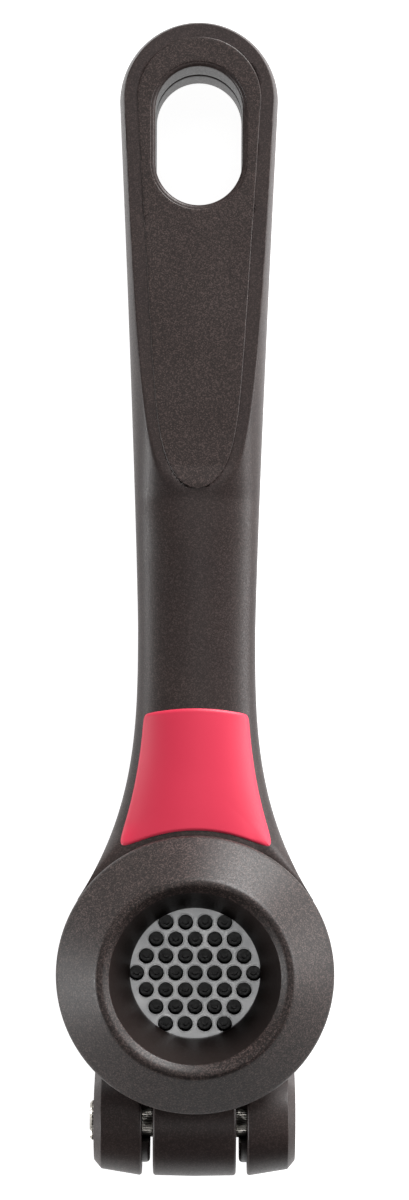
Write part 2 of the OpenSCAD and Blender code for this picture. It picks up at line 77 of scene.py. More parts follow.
class MeshMaker:
    """Gathers grids of points into one mesh with faces that point outwards."""

    def __init__(self, name: str) -> None:
        """Starts an empty mesh.

        Args:
            name: Name of the finished object.
        """
        self.name = name
        self.points: list[np.ndarray] = []
        self.faces: list[np.ndarray] = []
        self.count = 0

    def grid(self, grid: np.ndarray, wrap: bool = False, flip: bool = False) -> None:
        """Adds a grid surface.

        Face (i, j) joins points (i, j), (i, j+1), (i+1, j+1) and (i+1, j).

        Args:
            grid: Points as rows by columns by 3.
            wrap: Whether the last column joins the first.
            flip: Whether the faces turn the other way.
        """
        rows, cols = grid.shape[:2]
        ids = np.arange(rows * cols).reshape(rows, cols) + self.count
        if wrap:
            ids = np.concatenate([ids, ids[:, :1]], axis=1)
        quads = np.stack([ids[:-1, :-1], ids[:-1, 1:], ids[1:, 1:], ids[1:, :-1]], axis=-1).reshape(-1, 4)
        self.faces.append(quads[:, ::-1] if flip else quads)
        self.points.append(grid.reshape(-1, 3))
        self.count += rows * cols

    def finish(self, body: str) -> bpy.types.Object:
        """Builds the object, merges doubled points and rides it on its body.

        A quad with two of its corners merged becomes a triangle, and one with more is dropped.

        Args:
            body: Name of the body that the piece moves with.

        Returns:
            The finished object, smooth shaded, at the origin.
        """
        co = np.concatenate(self.points) * MM
        quads = np.concatenate(self.faces)
        keys = np.round(co / MERGE).astype(np.int64)
        _, first, back = np.unique(keys, axis=0, return_index=True, return_inverse=True)
        quads = back.reshape(-1)[quads]
        doubled = quads == np.roll(quads, 1, axis=1)
        whole = quads[doubled.sum(axis=1) == 0]
        slim = doubled.sum(axis=1) == 1
        drop = doubled[slim].argmax(axis=1)
        keep = (drop[:, None] + np.arange(1, 4)[None, :]) % 4
        thirds = np.take_along_axis(quads[slim], keep, axis=1)
        mesh = bpy.data.meshes.new(self.name)
        mesh.from_pydata(co[first].tolist(), [], whole.tolist() + thirds.tolist())
        mesh.validate()
        mesh.update()
        mesh.shade_smooth()
        mesh.set_sharp_from_angle(angle=math.radians(CREASE_DEG))
        obj = bpy.data.objects.new(self.name, mesh)
        bpy.context.scene.collection.objects.link(obj)
        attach(obj, body)
        LOG.info("%s: %d faces on %s", self.name, len(mesh.polygons), body)
        return obj


def rounded(corners: list[tuple[float, float, float]], steps: int = 6) -> np.ndarray:
    """Open outline with its corners rounded.

    At a corner of radius r the two sides are left at r / tan(half the angle between them) from the corner,
    and an arc round the centre on the bisector joins the two places.

    Args:
        corners: (first coordinate, second coordinate, radius) of each corner.
        steps: Segments in each arc.

    Returns:
        Points as rows of two coordinates.
    """
    out: list[np.ndarray] = []
    pts = [np.array(c[:2], float) for c in corners]
    for i, p in enumerate(pts):
        r = corners[i][2]
        if r <= 0 or i in (0, len(pts) - 1):
            out.append(p)
            continue
        a, b = pts[i - 1] - p, pts[i + 1] - p
        la, lb = np.linalg.norm(a), np.linalg.norm(b)
        a, b = a / la, b / lb
        half = math.acos(float(np.clip(a @ b, -1, 1))) / 2
        cut = min(r / math.tan(half), CORNER_SHARE * la, CORNER_SHARE * lb)
        r = cut * math.tan(half)
        centre = p + (a + b) / np.linalg.norm(a + b) * r / math.sin(half)
        u, v = p + a * cut - centre, p + b * cut - centre
        turn = math.atan2(u[0] * v[1] - u[1] * v[0], u @ v)
        for k in range(steps + 1):
            t = turn * k / steps
            c, s = math.cos(t), math.sin(t)
            out.append(centre + np.array([u[0] * c - u[1] * s, u[0] * s + u[1] * c]))
    return np.array(out)


def dense(outline: np.ndarray, step: float) -> np.ndarray:
    """Adds points along an outline so that no gap between two is longer than step."""
    out = [outline[:1]]
    for p, q in zip(outline[:-1], outline[1:]):
        n = max(1, math.ceil(float(np.linalg.norm(q - p)) / step))
        out.append(p + (q - p) * (np.arange(1, n + 1) / n)[:, None])
    return np.concatenate(out)


class Axis(Enum):
    """Direction that a turned piece stands along."""

    X = "x"
    Z = "z"


def turned(profile: np.ndarray, centre: tuple[float, float, float], axis: Axis, segments: int) -> np.ndarray:
    """Grid of a turned piece: each profile point (radius, height) is carried round the axis.

    Args:
        profile: Rows of (radius, height along the axis).
        centre: Where height 0 of the axis is.
        axis: The axis's direction.
        segments: Steps in a turn.

    Returns:
        Points as profile rows by segments by 3.
    """
    turn = np.arange(segments) * 2 * math.pi / segments
    r, h = profile[:, 0][:, None], profile[:, 1][:, None]
    c, s = r * np.cos(turn), r * np.sin(turn)
    h = np.broadcast_to(h, c.shape)
    parts = (c, s, h) if axis is Axis.Z else (h, c, s)
    return np.stack(parts, axis=-1) + np.array(centre)


def smooth_step(t: np.ndarray) -> np.ndarray:
    """3t^2 - 2t^3 on t held between 0 and 1."""
    t = np.clip(t, 0, 1)
    return t * t * (3 - 2 * t)


def soft_min(a: np.ndarray, b: np.ndarray, width: float) -> np.ndarray:
    """Lower of two heights, with the crease rounded: -width * log(exp(-a/width) + exp(-b/width))."""
    return -width * np.logaddexp(-a / width, -b / width)


def fillet_drop(gap: np.ndarray, radius: np.ndarray | float) -> np.ndarray:
    """Fall of a rounded edge at a distance from it: r - sqrt(r^2 - (r - gap)^2) up to r, then 0."""
    left = radius - np.clip(gap, 0, radius)
    return radius - np.sqrt(np.maximum(radius * radius - left * left, 0))


def raised(plan_grid: np.ndarray, height: np.ndarray) -> np.ndarray:
    """Joins plan points and their heights into points of three coordinates."""
    return np.concatenate([plan_grid, height[..., None]], axis=-1)


def around_hole(
    half: np.ndarray, side: np.ndarray, end: tuple[float, float], arc_steps: int, base_x: np.ndarray
) -> np.ndarray:
    """Outline of a paddle's part round the hanging hole.

    It runs up the right side, round the tip, down the left side and back along the split line.

    Args:
        half: Half widths at the heights in side.
        side: Places along the lever, from the split line to just below the round end.
        end: Radius and middle of the round end.
        arc_steps: Points on the round end.
        base_x: Points across the split line.

    Returns:
        Rows of x and y.
    """
    right = np.stack([half, side], axis=1)
    arc = np.linspace(0, math.pi, arc_steps)
    tip = np.stack([end[0] * np.cos(arc), end[1] + end[0] * np.sin(arc)], axis=1)
    base = np.stack([base_x, np.full(len(base_x), side[0])], axis=1)
    return np.concatenate([right, tip, right[::-1] * np.array([-1.0, 1.0]), base])


# ---------------------------------------------------------------- places and sizes


def node_box(node: str) -> tuple[np.ndarray, np.ndarray]:
    """Lowest and highest corner of a CAD node, in millimetres."""
    lo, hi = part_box(node)
    return np.array(lo) / MM, np.array(hi) / MM


# How far the hinge pin's head stands out of the ear
PIN_HEAD_OUT = 0.8
# Thickness of the front head's shoulder under the collar
SHOULDER = 2.4
# How far a liner stands out of the lever's inner face
LINER_PROUD = 0.12
# How far a face that runs on under another one lies beneath it
HIDDEN = 0.12


@dataclass(frozen=True)
class Places:
    """Heights and places that several pieces share, read from the frame, in millimetres."""

    cup_y: float
    hinge_y: float
    hinge_z: float
    tip: float
    collar_r: float
    collar_seat: float
    rim_z: float
    cup_top: float
    front_bot: float
    front_top: float
    rear_top: float
    head_top: float
    ear_out: float

    @staticmethod
    def read() -> "Places":
        """Measures the CAD nodes.

        Returns:
            The shared places.
        """
        collar = node_box("funnel_collar")
        cup = node_box("sieve_cup")
        front = node_box("front_frame")
        cover = node_box("front_cover")
        liner = node_box("front_liner")
        rear_liner = node_box("rear_liner")
        plunger = node_box("plunger")
        joint = frame["joints"][0]["pos_m"]
        pin = node_box("hinge_pin")
        return Places(
            cup_y=float(collar[0][1] + collar[1][1]) / 2,
            hinge_y=joint[1] / MM,
            hinge_z=joint[2] / MM,
            tip=float(front[1][1]),
            collar_r=float(collar[1][0]),
            collar_seat=float(front[1][2]),
            rim_z=float(collar[1][2]),
            cup_top=float(cup[1][2]),
            front_bot=float(liner[0][2]),
            front_top=float(cover[1][2]),
            rear_top=float(rear_liner[1][2]),
            head_top=float(plunger[0][2]),
            ear_out=float(-pin[0][0]) - PIN_HEAD_OUT,
        )


P = Places.read()


def about_hinge(x: np.ndarray, reach: np.ndarray, turn: np.ndarray) -> np.ndarray:
    """Points at a distance and an angle from the hinge's axis, counted from +Y towards +Z."""
    across = np.broadcast_to(x, reach.shape)
    return np.stack([across, P.hinge_y + reach * np.cos(turn), P.hinge_z + reach * np.sin(turn)], axis=-1)


@dataclass(frozen=True)
class LeverPlan:
    """Plan of a lever: a straight-sided paddle with a round end, a narrow neck and a flare to the head."""

    tip_r: float = 14.25
    neck_half: float = 10.6
    neck_run: float = 61.5
    join_run: float = 13.2
    hang_w: float = 15.6
    hang_len: float = 24.8
    hang_rim: float = 8.4
    taper_power: float = 1.22
    flare_power: float = 3.0
    inset: float = 0.0
    head_inset: float = 0.0

    @property
    def tip_y(self) -> float:
        """Middle of the round end."""
        return P.tip - self.tip_r

    @property
    def neck_y(self) -> float:
        """The narrowest place."""
        return P.cup_y + self.neck_run

    @property
    def join_y(self) -> float:
        """Where the flare meets the collar's circle."""
        return P.cup_y + self.join_run

    @property
    def end_r(self) -> float:
        """Radius of the round end."""
        return self.tip_r - self.inset

    @property
    def hang_y(self) -> float:
        """Middle of the hanging hole."""
        return P.tip - self.hang_rim - self.hang_len / 2

    @property
    def hang_run(self) -> float:
        """Half the length of the hanging hole's straight sides."""
        return (self.hang_len - self.hang_w) / 2

    def to_head(self, y: np.ndarray) -> np.ndarray:
        """Share of the way from the neck to the head, from 0 to 1."""
        return np.clip((self.neck_y - y) / (self.neck_y - self.join_y), 0, 1)

    def half(self, y: np.ndarray) -> np.ndarray:
        """Half the width at y: neck + taper * s^1.22 towards the tip, neck + flare * t^3 towards the head."""
        y = np.asarray(y, float)
        s = np.clip((y - self.neck_y) / (self.tip_y - self.neck_y), 0, 1)
        t = self.to_head(y)
        taper = (self.tip_r - self.neck_half) * s**self.taper_power
        flare = (math.sqrt(P.collar_r**2 - self.join_run**2) - self.neck_half) * t**self.flare_power
        return self.neck_half + taper + flare - self.inset - self.head_inset * t

    def share(self, x: np.ndarray, y: np.ndarray) -> np.ndarray:
        """How far out a point is: 0 on the middle line, 1 on the outline."""
        side = np.abs(x) / self.half(y)
        end = np.hypot(x, y - self.tip_y) / self.end_r
        return np.where(y > self.tip_y, end, side)

    def edge_gap(self, x: np.ndarray, y: np.ndarray) -> np.ndarray:
        """Distance in from the outline."""
        side = self.half(y) - np.abs(x)
        end = self.end_r - np.hypot(x, y - self.tip_y)
        return np.maximum(np.where(y > self.tip_y, end, side), 0)

    def hole_gap(self, x: np.ndarray, y: np.ndarray) -> np.ndarray:
        """Distance out from the hanging hole's edge, where the hole is a slot with round ends."""
        dy = np.maximum(np.abs(y - self.hang_y) - self.hang_run, 0)
        return np.maximum(np.hypot(x, dy) - self.hang_w / 2, 0)

    def hole_rays(self, outline: np.ndarray, grow: float = 0.0) -> tuple[np.ndarray, np.ndarray, np.ndarray]:
        """Rays from the hanging hole's middle to an outline round it.

        Along a unit direction (a, b) the hole's edge lies at r / |a| on its straight sides and at
        |b| * run + sqrt((b * run)^2 - run^2 + r^2) on its round ends.

        Args:
            outline: Plan points round the hole.
            grow: How much wider than the hole the edge is taken.

        Returns:
            The rays' unit directions, the distance of each outline point and the distance of the hole's edge.
        """
        away = outline - np.array([0.0, self.hang_y])
        reach = np.linalg.norm(away, axis=1)
        way = away / reach[:, None]
        a, b = way[:, 0], way[:, 1]
        run, r = self.hang_run, self.hang_w / 2 + grow
        flat = r / np.maximum(np.abs(a), TINY)
        cap = np.abs(b) * run + np.sqrt(np.maximum((b * run) ** 2 - run**2 + r**2, 0))
        return way, reach, np.where(np.abs(b) * flat <= run, flat, cap)

    def ray_points(self, way: np.ndarray, rings: list[np.ndarray]) -> np.ndarray:
        """Plan points at the rings' distances from the hole's middle along the rays."""
        return np.array([0.0, self.hang_y]) + way[None, :, :] * np.array(rings)[:, :, None]


@dataclass(frozen=True)
class CoverPlan:
    """Plan of a paddle's cover: round at the tip, narrowing to a rounded end on the neck."""

    plan: LeverPlan
    inset: float = 3.1
    length: float = 69.6
    taper: float = 0.39
    foot_power: float = 12.0

    @property
    def end_r(self) -> float:
        """Radius of the round end at the tip."""
        return self.plan.tip_r - self.inset

    def half(self, y: np.ndarray) -> np.ndarray:
        """Half the cover's width: r * (1 - taper u) * sqrt(1 - u^12), u from 0 at the tip's middle to 1."""
        u = np.clip((self.plan.tip_y - np.asarray(y, float)) / self.length, 0, 1)
        return self.end_r * (1 - self.taper * u) * np.sqrt(np.maximum(1 - u**self.foot_power, 0))

    def depth_in(self, x: np.ndarray, y: np.ndarray) -> np.ndarray:
        """Rough distance inside the cover's outline, 0 outside it."""
        side = self.half(y) - np.abs(x)
        foot = y - (self.plan.tip_y - self.length)
        end = self.end_r - np.hypot(x, y - self.plan.tip_y)
        return np.maximum(np.where(y > self.plan.tip_y, end, np.minimum(side, foot)), 0)


@dataclass(frozen=True)
class OuterFace:
    """Outer face of a lever: a convex form cut by the paddle's plane, which ends in a U on the neck.

    Height over the parting line is crown * (1 - share^power)^(1/2.2), where the power falls from 2.5
    towards the neck and makes it rounder. The crown grows along the paddle, so the plane cuts it ever
    closer to the edge and leaves a narrow side facet. With a pocket, the face sinks under the cover.
    """

    plan: LeverPlan
    parting: float
    plane: float
    cut_y: float = 18.5
    cut_slope: float = 0.19
    cut_most: float = 10.0
    cap_from: float = 6.0
    cap_slope: float = 0.12
    neck_dip: float = 0.5
    dip_run: float = 22.0
    side_power: float = 2.5
    neck_soften: float = 0.6
    soften_run: float = 12.0
    crest_power: float = 2.2
    crease: float = 0.07
    head_rise: float = 0.0
    hole_round: float = 0.7
    pocket: float = 0.7
    pocket_edge: tuple[float, float] = (0.15, 0.5)
    pocket_hole: tuple[float, float] = (0.8, 0.4)

    def height(self, x: np.ndarray, y: np.ndarray) -> np.ndarray:
        """Height of the face at (x, y), measured away from the parting line."""
        grow = self.cut_most * np.tanh(np.maximum(y - self.cut_y, 0) * self.cut_slope / self.cut_most)
        dip = self.neck_dip * smooth_step((self.cut_y - y) / self.dip_run)
        rise = (self.head_rise + self.neck_dip) * self.plan.to_head(y) ** 2
        crown = self.plane - self.parting + grow - dip + rise
        share = np.clip(self.plan.share(x, y), 0, 1)
        power = self.side_power - self.neck_soften * smooth_step((self.cut_y - y) / self.soften_run)
        convex = self.parting + crown * (1 - share**power) ** (1 / self.crest_power)
        cap = self.plane + rise + self.cap_slope * np.maximum(self.cut_y + self.cap_from - y, 0)
        top = soft_min(convex, cap, self.crease)
        clear = self.plan.hole_gap(x, y)
        inside = CoverPlan(self.plan).depth_in(x, y)
        (edge, edge_run), (rim, rim_run) = self.pocket_edge, self.pocket_hole
        sunk = self.pocket * smooth_step((inside - edge) / edge_run) * smooth_step((clear - rim) / rim_run)
        return np.maximum(top - sunk - fillet_drop(clear, self.hole_round), self.parting)


@dataclass(frozen=True)
class InnerFace:
    """Inner face of a lever: flat, with a rounded edge, and lower towards the head."""

    plan: LeverPlan
    parting: float
    level: float
    head_level: float
    head_from: float
    head_over: float
    edge_round: float = 2.6
    least_round: float = 0.05
    hole_round: float = 0.7

    def height(self, x: np.ndarray, y: np.ndarray) -> np.ndarray:
        """Height of the face at (x, y), measured away from the parting line."""
        t = smooth_step((self.plan.to_head(y) - self.head_from) / self.head_over)
        level = self.level + (self.head_level - self.level) * t
        r = np.minimum(self.edge_round, np.maximum(level - self.parting, self.least_round))
        edge = fillet_drop(self.plan.edge_gap(x, y), r)
        return level - edge - fillet_drop(self.plan.hole_gap(x, y), self.hole_round)


@dataclass(frozen=True)
class HeadTuck:
    """Limit that keeps a lever's end hidden in its head.

    Within radius of the cup's axis no point lies below (or, if not upwards, above) height + slope *
    (distance - radius), rounded over soft; over the next run millimetres outwards the limit fades away.
    """

    radius: float
    height: float
    slope: float
    upwards: bool
    run: float = 5.0
    soft: float = 0.15

    def apply(self, grid: np.ndarray) -> np.ndarray:
        """Moves the points that lie beyond the limit onto it.

        Args:
            grid: Points with x, y and z along the last axis.

        Returns:
            The same points with their new heights.
        """
        away = np.hypot(grid[..., 0], grid[..., 1] - P.cup_y)
        limit = self.height + self.slope * (np.minimum(away, self.radius) - self.radius)
        z = grid[..., 2]
        held = -soft_min(-z, -limit, self.soft) if self.upwards else soft_min(z, limit, self.soft)
        near = 1 - smooth_step((away - self.radius) / self.run)
        return raised(grid[..., :2], z + (held - z) * near)


@dataclass(frozen=True)
class LeverShell:
    """Closed surface of a lever round its hanging hole.

    Below the split line the grid runs in rows across the lever. Above it, rays run from the outline to the
    hole. head_r is the radius round the cup at which the lever's end is hidden in its head, and head_least
    the least distance of that end from the cup's axis. Rows lie closer together near the head by row_power.
    """

    plan: LeverPlan
    head_r: float = 19.0
    head_least: float = 13.0
    hole_to_split: float = 3.4
    columns: int = 121
    rows: int = 180
    row_power: float = 1.5
    side_steps: int = 32
    arc_steps: int = 97
    edge_band: float = 2.6
    edge_rings: int = 25
    hole_band: float = 0.8
    hole_rings: int = 7
    middle_rings: int = 9
    narrow_span: float = 4.6
    wall_rows: int = 9
    bend_rounds: int = 8

    @property
    def split(self) -> float:
        """The line between the rows and the rays."""
        return self.plan.hang_y - self.plan.hang_len / 2 - self.hole_to_split

    @property
    def across(self) -> np.ndarray:
        """Shares of the half width, from -1 to 1 and closer together at the edges."""
        return np.sin(np.linspace(-math.pi / 2, math.pi / 2, self.columns))

    def ring_plan(self) -> np.ndarray:
        """Plan points of the part round the hole, from the outline inwards to the hole's edge."""
        plan = self.plan
        side = np.linspace(self.split, plan.tip_y, self.side_steps)[:-1]
        half = plan.half(side)
        base_x = float(half[0]) * self.across[1:-1]
        outline = around_hole(half, side, (plan.end_r, plan.tip_y), self.arc_steps, base_x)
        way, reach, stop = plan.hole_rays(outline)
        shrink = np.minimum((reach - stop) / self.narrow_span, 1)
        outer = self.edge_band * (1 - np.cos(np.linspace(0, math.pi / 2, self.edge_rings)))
        inner = self.hole_band * (1 - np.cos(np.linspace(0, math.pi / 2, self.hole_rings)))[::-1]
        rings = [reach - d * shrink for d in outer]
        start, close = rings[-1], stop + inner[0]
        rings += [start + (close - start) * m for m in np.linspace(0, 1, self.middle_rings)[1:-1]]
        rings += [stop + d for d in inner]
        return plan.ray_points(way, rings)

    def row_plan(self) -> np.ndarray:
        """Plan points of the part below the split line, in rows from the head upwards.

        The lowest row follows the circle of head_r round the cup in the middle and lies level outside it;
        the rows above it straighten out evenly. Each x is its share of the half width at its own y.
        """
        along = np.linspace(0, 1, self.rows) ** self.row_power
        y = np.full((self.rows, self.columns), self.plan.join_y)
        for _ in range(self.bend_rounds):
            x = self.plan.half(y) * self.across[None, :]
            low = P.cup_y + np.sqrt(np.maximum(self.head_r**2 - x[0] ** 2, self.head_least**2))
            y = low[None, :] + (self.split - low)[None, :] * along[:, None]
        return np.stack([x, y], axis=-1)

    def build(
        self, maker: MeshMaker, outer: OuterFace, inner: InnerFace, tuck: HeadTuck, sign: float
    ) -> None:
        """Adds both faces, the side walls, the hole's wall and the hidden end.

        Args:
            maker: Mesh that takes the grids.
            outer: The convex face, in heights away from the press's middle.
            inner: The flat face, in heights away from the outer face.
            tuck: Limit that hides the lever's end in its head.
            sign: 1 on the front lever, whose outer face looks up, and -1 on the rear one.
        """
        up = sign > 0

        def lift(grid: np.ndarray, face: OuterFace | InnerFace, way: float) -> np.ndarray:
            """Plan points on a face, with heights counted along way."""
            return tuck.apply(raised(grid, way * face.height(grid[..., 0], grid[..., 1])))

        mix = np.linspace(0, 1, self.wall_rows)[:, None, None]

        def wall(high: np.ndarray, low: np.ndarray, wrap: bool, flip: bool) -> None:
            """Adds a straight wall between two borders."""
            maker.grid(high[None] * (1 - mix) + low[None] * mix, wrap, flip)

        ring, rows = self.ring_plan(), self.row_plan()
        top_ring, low_ring = lift(ring, outer, sign), lift(ring, inner, -sign)
        top_rows, low_rows = lift(rows, outer, sign), lift(rows, inner, -sign)
        maker.grid(top_ring, wrap=True, flip=not up)
        maker.grid(low_ring, wrap=True, flip=up)
        maker.grid(top_rows, flip=not up)
        maker.grid(low_rows, flip=up)
        wall(top_ring[-1], low_ring[-1], True, not up)
        edge = ring.shape[1] - (self.columns - 2)
        wall(top_ring[0, :edge], low_ring[0, :edge], False, up)
        wall(top_rows[:, -1], low_rows[:, -1], False, up)
        wall(top_rows[:, 0], low_rows[:, 0], False, not up)
        wall(top_rows[0], low_rows[0], False, up)


# ---------------------------------------------------------------- finishes


def linear(hex_colour: str) -> tuple[float, float, float, float]:
    """Turns an sRGB hex colour into linear RGBA: v/12.92 below 0.04045, ((v + 0.055)/1.055)^2.4 above."""
    values = [int(hex_colour[i : i + 2], 16) / 255 for i in (1, 3, 5)]
    low = [v / 12.92 if v <= 0.04045 else ((v + 0.055) / 1.055) ** 2.4 for v in values]
    return (low[0], low[1], low[2], 1.0)


def add(
    tree: bpy.types.NodeTree,
    kind: str,
    settings: dict[str, object] | None = None,
    inputs: dict[str | int, object] | None = None,
) -> bpy.types.Node:
    """Adds a node with its settings, input values and links.

    Args:
        tree: Node tree that takes it.
        kind: The node's type name.
        settings: Attributes to set.
        inputs: For each input, a value or the output socket that feeds it.

    Returns:
        The new node.
    """
    node = tree.nodes.new(kind)
    for key, value in (settings or {}).items():
        setattr(node, key, value)
    for key, value in (inputs or {}).items():
        if isinstance(value, bpy.types.NodeSocket):
            tree.links.new(value, node.inputs[key])
        else:
            node.inputs[key].default_value = value
    return node


# The higher, the fewer of the flecks are light
FLECK_RARITY = 3.0
# How far a brushed grain is drawn out: its scale along the scratches
BRUSHED_STRETCH = 0.03
# Where the cloud pattern turns from the dark tint to the full colour
TINT_RANGE = (0.3, 0.72)
# Values of the grain pattern between which the roughness varies
GRAIN_RANGE = (0.3, 0.7)
# Detail of the cloud and of the grain
CLOUD_DETAIL, GRAIN_DETAIL = 4.0, 2.0
# No finish is smoother than this
LEAST_ROUGHNESS = 0.02


@dataclass(frozen=True)
class Finish:
    """A finish: a Principled shader whose colour, roughness and bump come from patterns of a real size.

    grain_mm is the width of one grain of the moulded texture. Each grain's colour is multiplied by
    1 + fleck * (random^rarity - its mean), so that most grains are a little dark and a few are light.
    brushed_axis is the axis along which the grain is drawn out, or -1.
    """

    name: str
    colour: str
    dark: str
    roughness: float
    grain_mm: float
    grain_depth_mm: float
    roughness_spread: float = 0.08
    metallic: float = 0.0
    specular: float = 0.5
    fleck: float = 0.0
    fleck_mm: float = 0.3
    patch_mm: float = 12.0
    sheen: float = 0.0
    brushed_axis: int = -1

    def flecked(self, tree: bpy.types.NodeTree, place: bpy.types.NodeSocket, colour: object) -> object:
        """Multiplies a colour by a random gain in each cell of fleck_mm.

        Args:
            tree: Node tree that takes the nodes.
            place: The coordinates.
            colour: The colour's socket.

        Returns:
            The socket of the flecked colour.
        """
        cells = add(tree, "ShaderNodeTexVoronoi", inputs={"Vector": place, "Scale": 1 / (self.fleck_mm * MM)})
        lone = add(tree, "ShaderNodeSeparateColor", inputs={"Color": cells.outputs["Color"]})
        rare = add(tree, "ShaderNodeMath", {"operation": "POWER"}, {0: lone.outputs["Red"], 1: FLECK_RARITY})
        ends = {
            "Value": rare.outputs["Value"],
            "To Min": 1 - self.fleck / (FLECK_RARITY + 1),
            "To Max": 1 + self.fleck * FLECK_RARITY / (FLECK_RARITY + 1),
        }
        gain = add(tree, "ShaderNodeMapRange", {"clamp": False}, ends)
        scaled = {0: colour, "Scale": gain.outputs["Result"]}
        return add(tree, "ShaderNodeVectorMath", {"operation": "SCALE"}, scaled).outputs["Vector"]

    def material(self) -> bpy.types.Material:
        """Builds the node material.

        Colour is dark to full by a slow cloud pattern, times the flecks; roughness varies with the grain,
        and the bump's height is the grain pattern times the grain's depth.

        Returns:
            The finished material.
        """
        mat = bpy.data.materials.new(self.name)
        mat.use_nodes = True
        tree = mat.node_tree
        tree.nodes.clear()
        place = add(tree, "ShaderNodeTexCoord").outputs["Object"]
        stretch = [1.0, 1.0, 1.0]
        if self.brushed_axis >= 0:
            stretch[self.brushed_axis] = BRUSHED_STRETCH
        mapped = add(tree, "ShaderNodeMapping", inputs={"Vector": place, "Scale": stretch}).outputs["Vector"]
        cloud_in = {"Vector": place, "Scale": 1 / (self.patch_mm * MM), "Detail": CLOUD_DETAIL}
        cloud = add(tree, "ShaderNodeTexNoise", inputs=cloud_in)
        grain_in = {"Vector": mapped, "Scale": 1 / (self.grain_mm * MM), "Detail": GRAIN_DETAIL}
        grain = add(tree, "ShaderNodeTexNoise", inputs=grain_in).outputs["Fac"]
        tint = add(tree, "ShaderNodeValToRGB", inputs={"Fac": cloud.outputs["Fac"]})
        for stop, position, shade in zip(tint.color_ramp.elements, TINT_RANGE, (self.dark, self.colour)):
            stop.position = position
            stop.color = linear(shade)
        colour = tint.outputs["Color"]
        if self.fleck > 0:
            colour = self.flecked(tree, place, colour)
        rough_in = {
            "Value": grain,
            "From Min": GRAIN_RANGE[0],
            "From Max": GRAIN_RANGE[1],
            "To Min": max(self.roughness - self.roughness_spread, LEAST_ROUGHNESS),
            "To Max": min(self.roughness + self.roughness_spread, 1.0),
        }
        rough = add(tree, "ShaderNodeMapRange", inputs=rough_in)
        bump_in = {"Height": grain, "Strength": 1.0, "Distance": self.grain_depth_mm * MM}
        bump = add(tree, "ShaderNodeBump", inputs=bump_in)
        shader_in = {
            "Base Color": colour,
            "Roughness": rough.outputs["Result"],
            "Normal": bump.outputs["Normal"],
            "Metallic": self.metallic,
            "Specular IOR Level": self.specular,
            "Sheen Weight": self.sheen,
        }
        shader = add(tree, "ShaderNodeBsdfPrincipled", inputs=shader_in)
        add(tree, "ShaderNodeOutputMaterial", inputs={"Surface": shader.outputs["BSDF"]})
        return mat


# Glass-filled nylon, injection moulded in a spark-eroded tool: a fine satin grain with faint mica flecks.
LEVER_NYLON = Finish(
    "glass_filled_nylon_moulded", colour="#362d2b", dark="#302827", roughness=0.42, grain_mm=0.3,
    grain_depth_mm=0.010, fleck=1.0, fleck_mm=0.17, specular=0.33,
)
# The same nylon from a coarser tool: the covers glitter a little more than the lever round them.
COVER_NYLON = Finish(
    "glass_filled_nylon_coarse_grain", colour="#372e2c", dark="#312826", roughness=0.44, grain_mm=0.4,
    grain_depth_mm=0.016, fleck=1.6, fleck_mm=0.17, specular=0.33,
)
# The collar's nylon: coarse grain outside, seen at a slope, so the flecks show most here.
COLLAR_NYLON = Finish(
    "glass_filled_nylon_collar", colour="#342b29", dark="#2d2523", roughness=0.46, grain_mm=0.4,
    grain_depth_mm=0.016, fleck=2.4, fleck_mm=0.19, specular=0.4,
)
# The funnel inside the lip is polished in the tool, with soft mirror images of the plate; its colour is the
# collar's nylon darkened as painted shade for the funnel's inside.
FUNNEL_NYLON_SHADED = Finish(
    "nylon_polished_funnel_painted_shade", colour="#221b19", dark="#1d1716", roughness=0.36, roughness_spread=0.04,
    grain_mm=0.5, grain_depth_mm=0.004, patch_mm=9.0, specular=0.25,
)
# Thermoplastic elastomer, moulded: soft satin red with a faint bloom at its edges.
PAD_ELASTOMER = Finish(
    "thermoplastic_elastomer_red", colour="#d12d4a", dark="#c82643", roughness=0.5, roughness_spread=0.05,
    grain_mm=0.25, grain_depth_mm=0.004, sheen=0.06, patch_mm=20.0,
)
# Stainless steel sheet, pressed and then tumbled: a bright satin, mottled in darker patches that are partly
# the tumbled finish and partly painted shade, standing in for the shade of the funnel's walls.
CUP_STEEL = Finish(
    "stainless_steel_satin", colour="#f0f0f0", dark="#cfd0d1", roughness=0.48, metallic=1.0, grain_mm=0.16,
    grain_depth_mm=0.004, patch_mm=5.0,
)
# Free-cutting steel, turned: darker and glossier than the cup, with fine lines along the pin.
PIN_STEEL = Finish(
    "steel_turned_pin", colour="#bab6af", dark="#96928b", roughness=0.3, metallic=1.0, grain_mm=0.1,
    grain_depth_mm=0.006, brushed_axis=0, patch_mm=3.0,
)
# Zinc-plated steel screws: pale, slightly mottled.
SCREW_STEEL = Finish(
    "zinc_plated_steel", colour="#b5b6b8", dark="#9b9da1", roughness=0.34, metallic=1.0, grain_mm=0.2,
    grain_depth_mm=0.004, patch_mm=2.0,
)
# Acetal plunger and pin plate, moulded: smooth, dark grey, with the waxy gloss of acetal.
PLUNGER_ACETAL = Finish(
    "acetal_moulded_grey", colour="#1d1c1c", dark="#181717", roughness=0.38, grain_mm=0.4,
    grain_depth_mm=0.004, patch_mm=6.0, specular=0.35,
)


class FinishBook:
    """Makes each finish once and dresses pieces and nodes in it."""

    def __init__(self) -> None:
        """Starts with no material made."""
        self._made: dict[str, bpy.types.Material] = {}

    def get(self, finish: Finish) -> bpy.types.Material:
        """Material of a finish, made at its first use."""
        if finish.name not in self._made:
            self._made[finish.name] = finish.material()
        return self._made[finish.name]

    def dress(self, obj: bpy.types.Object, finish: Finish) -> None:
        """Puts one finish on a new piece or on a CAD node."""
        obj.data.materials.clear()
        obj.data.materials.append(self.get(finish))

    def piece(
        self, maker: MeshMaker, body: str, finish: Finish, slot: str, node: str = ""
    ) -> bpy.types.Object:
        """Finishes a mesh as a piece of the press.

        Args:
            maker: The mesh.
            body: Name of the body that the piece moves with.
            finish: The finish to use.
            slot: The record's material slot; not used.
            node: The CAD node that the piece takes the place of, if any.

        Returns:
            The piece.
        """
        obj = maker.finish(body)
        self.dress(obj, finish)
        if node:
            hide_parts(node)
        return obj


# ---------------------------------------------------------------- the press


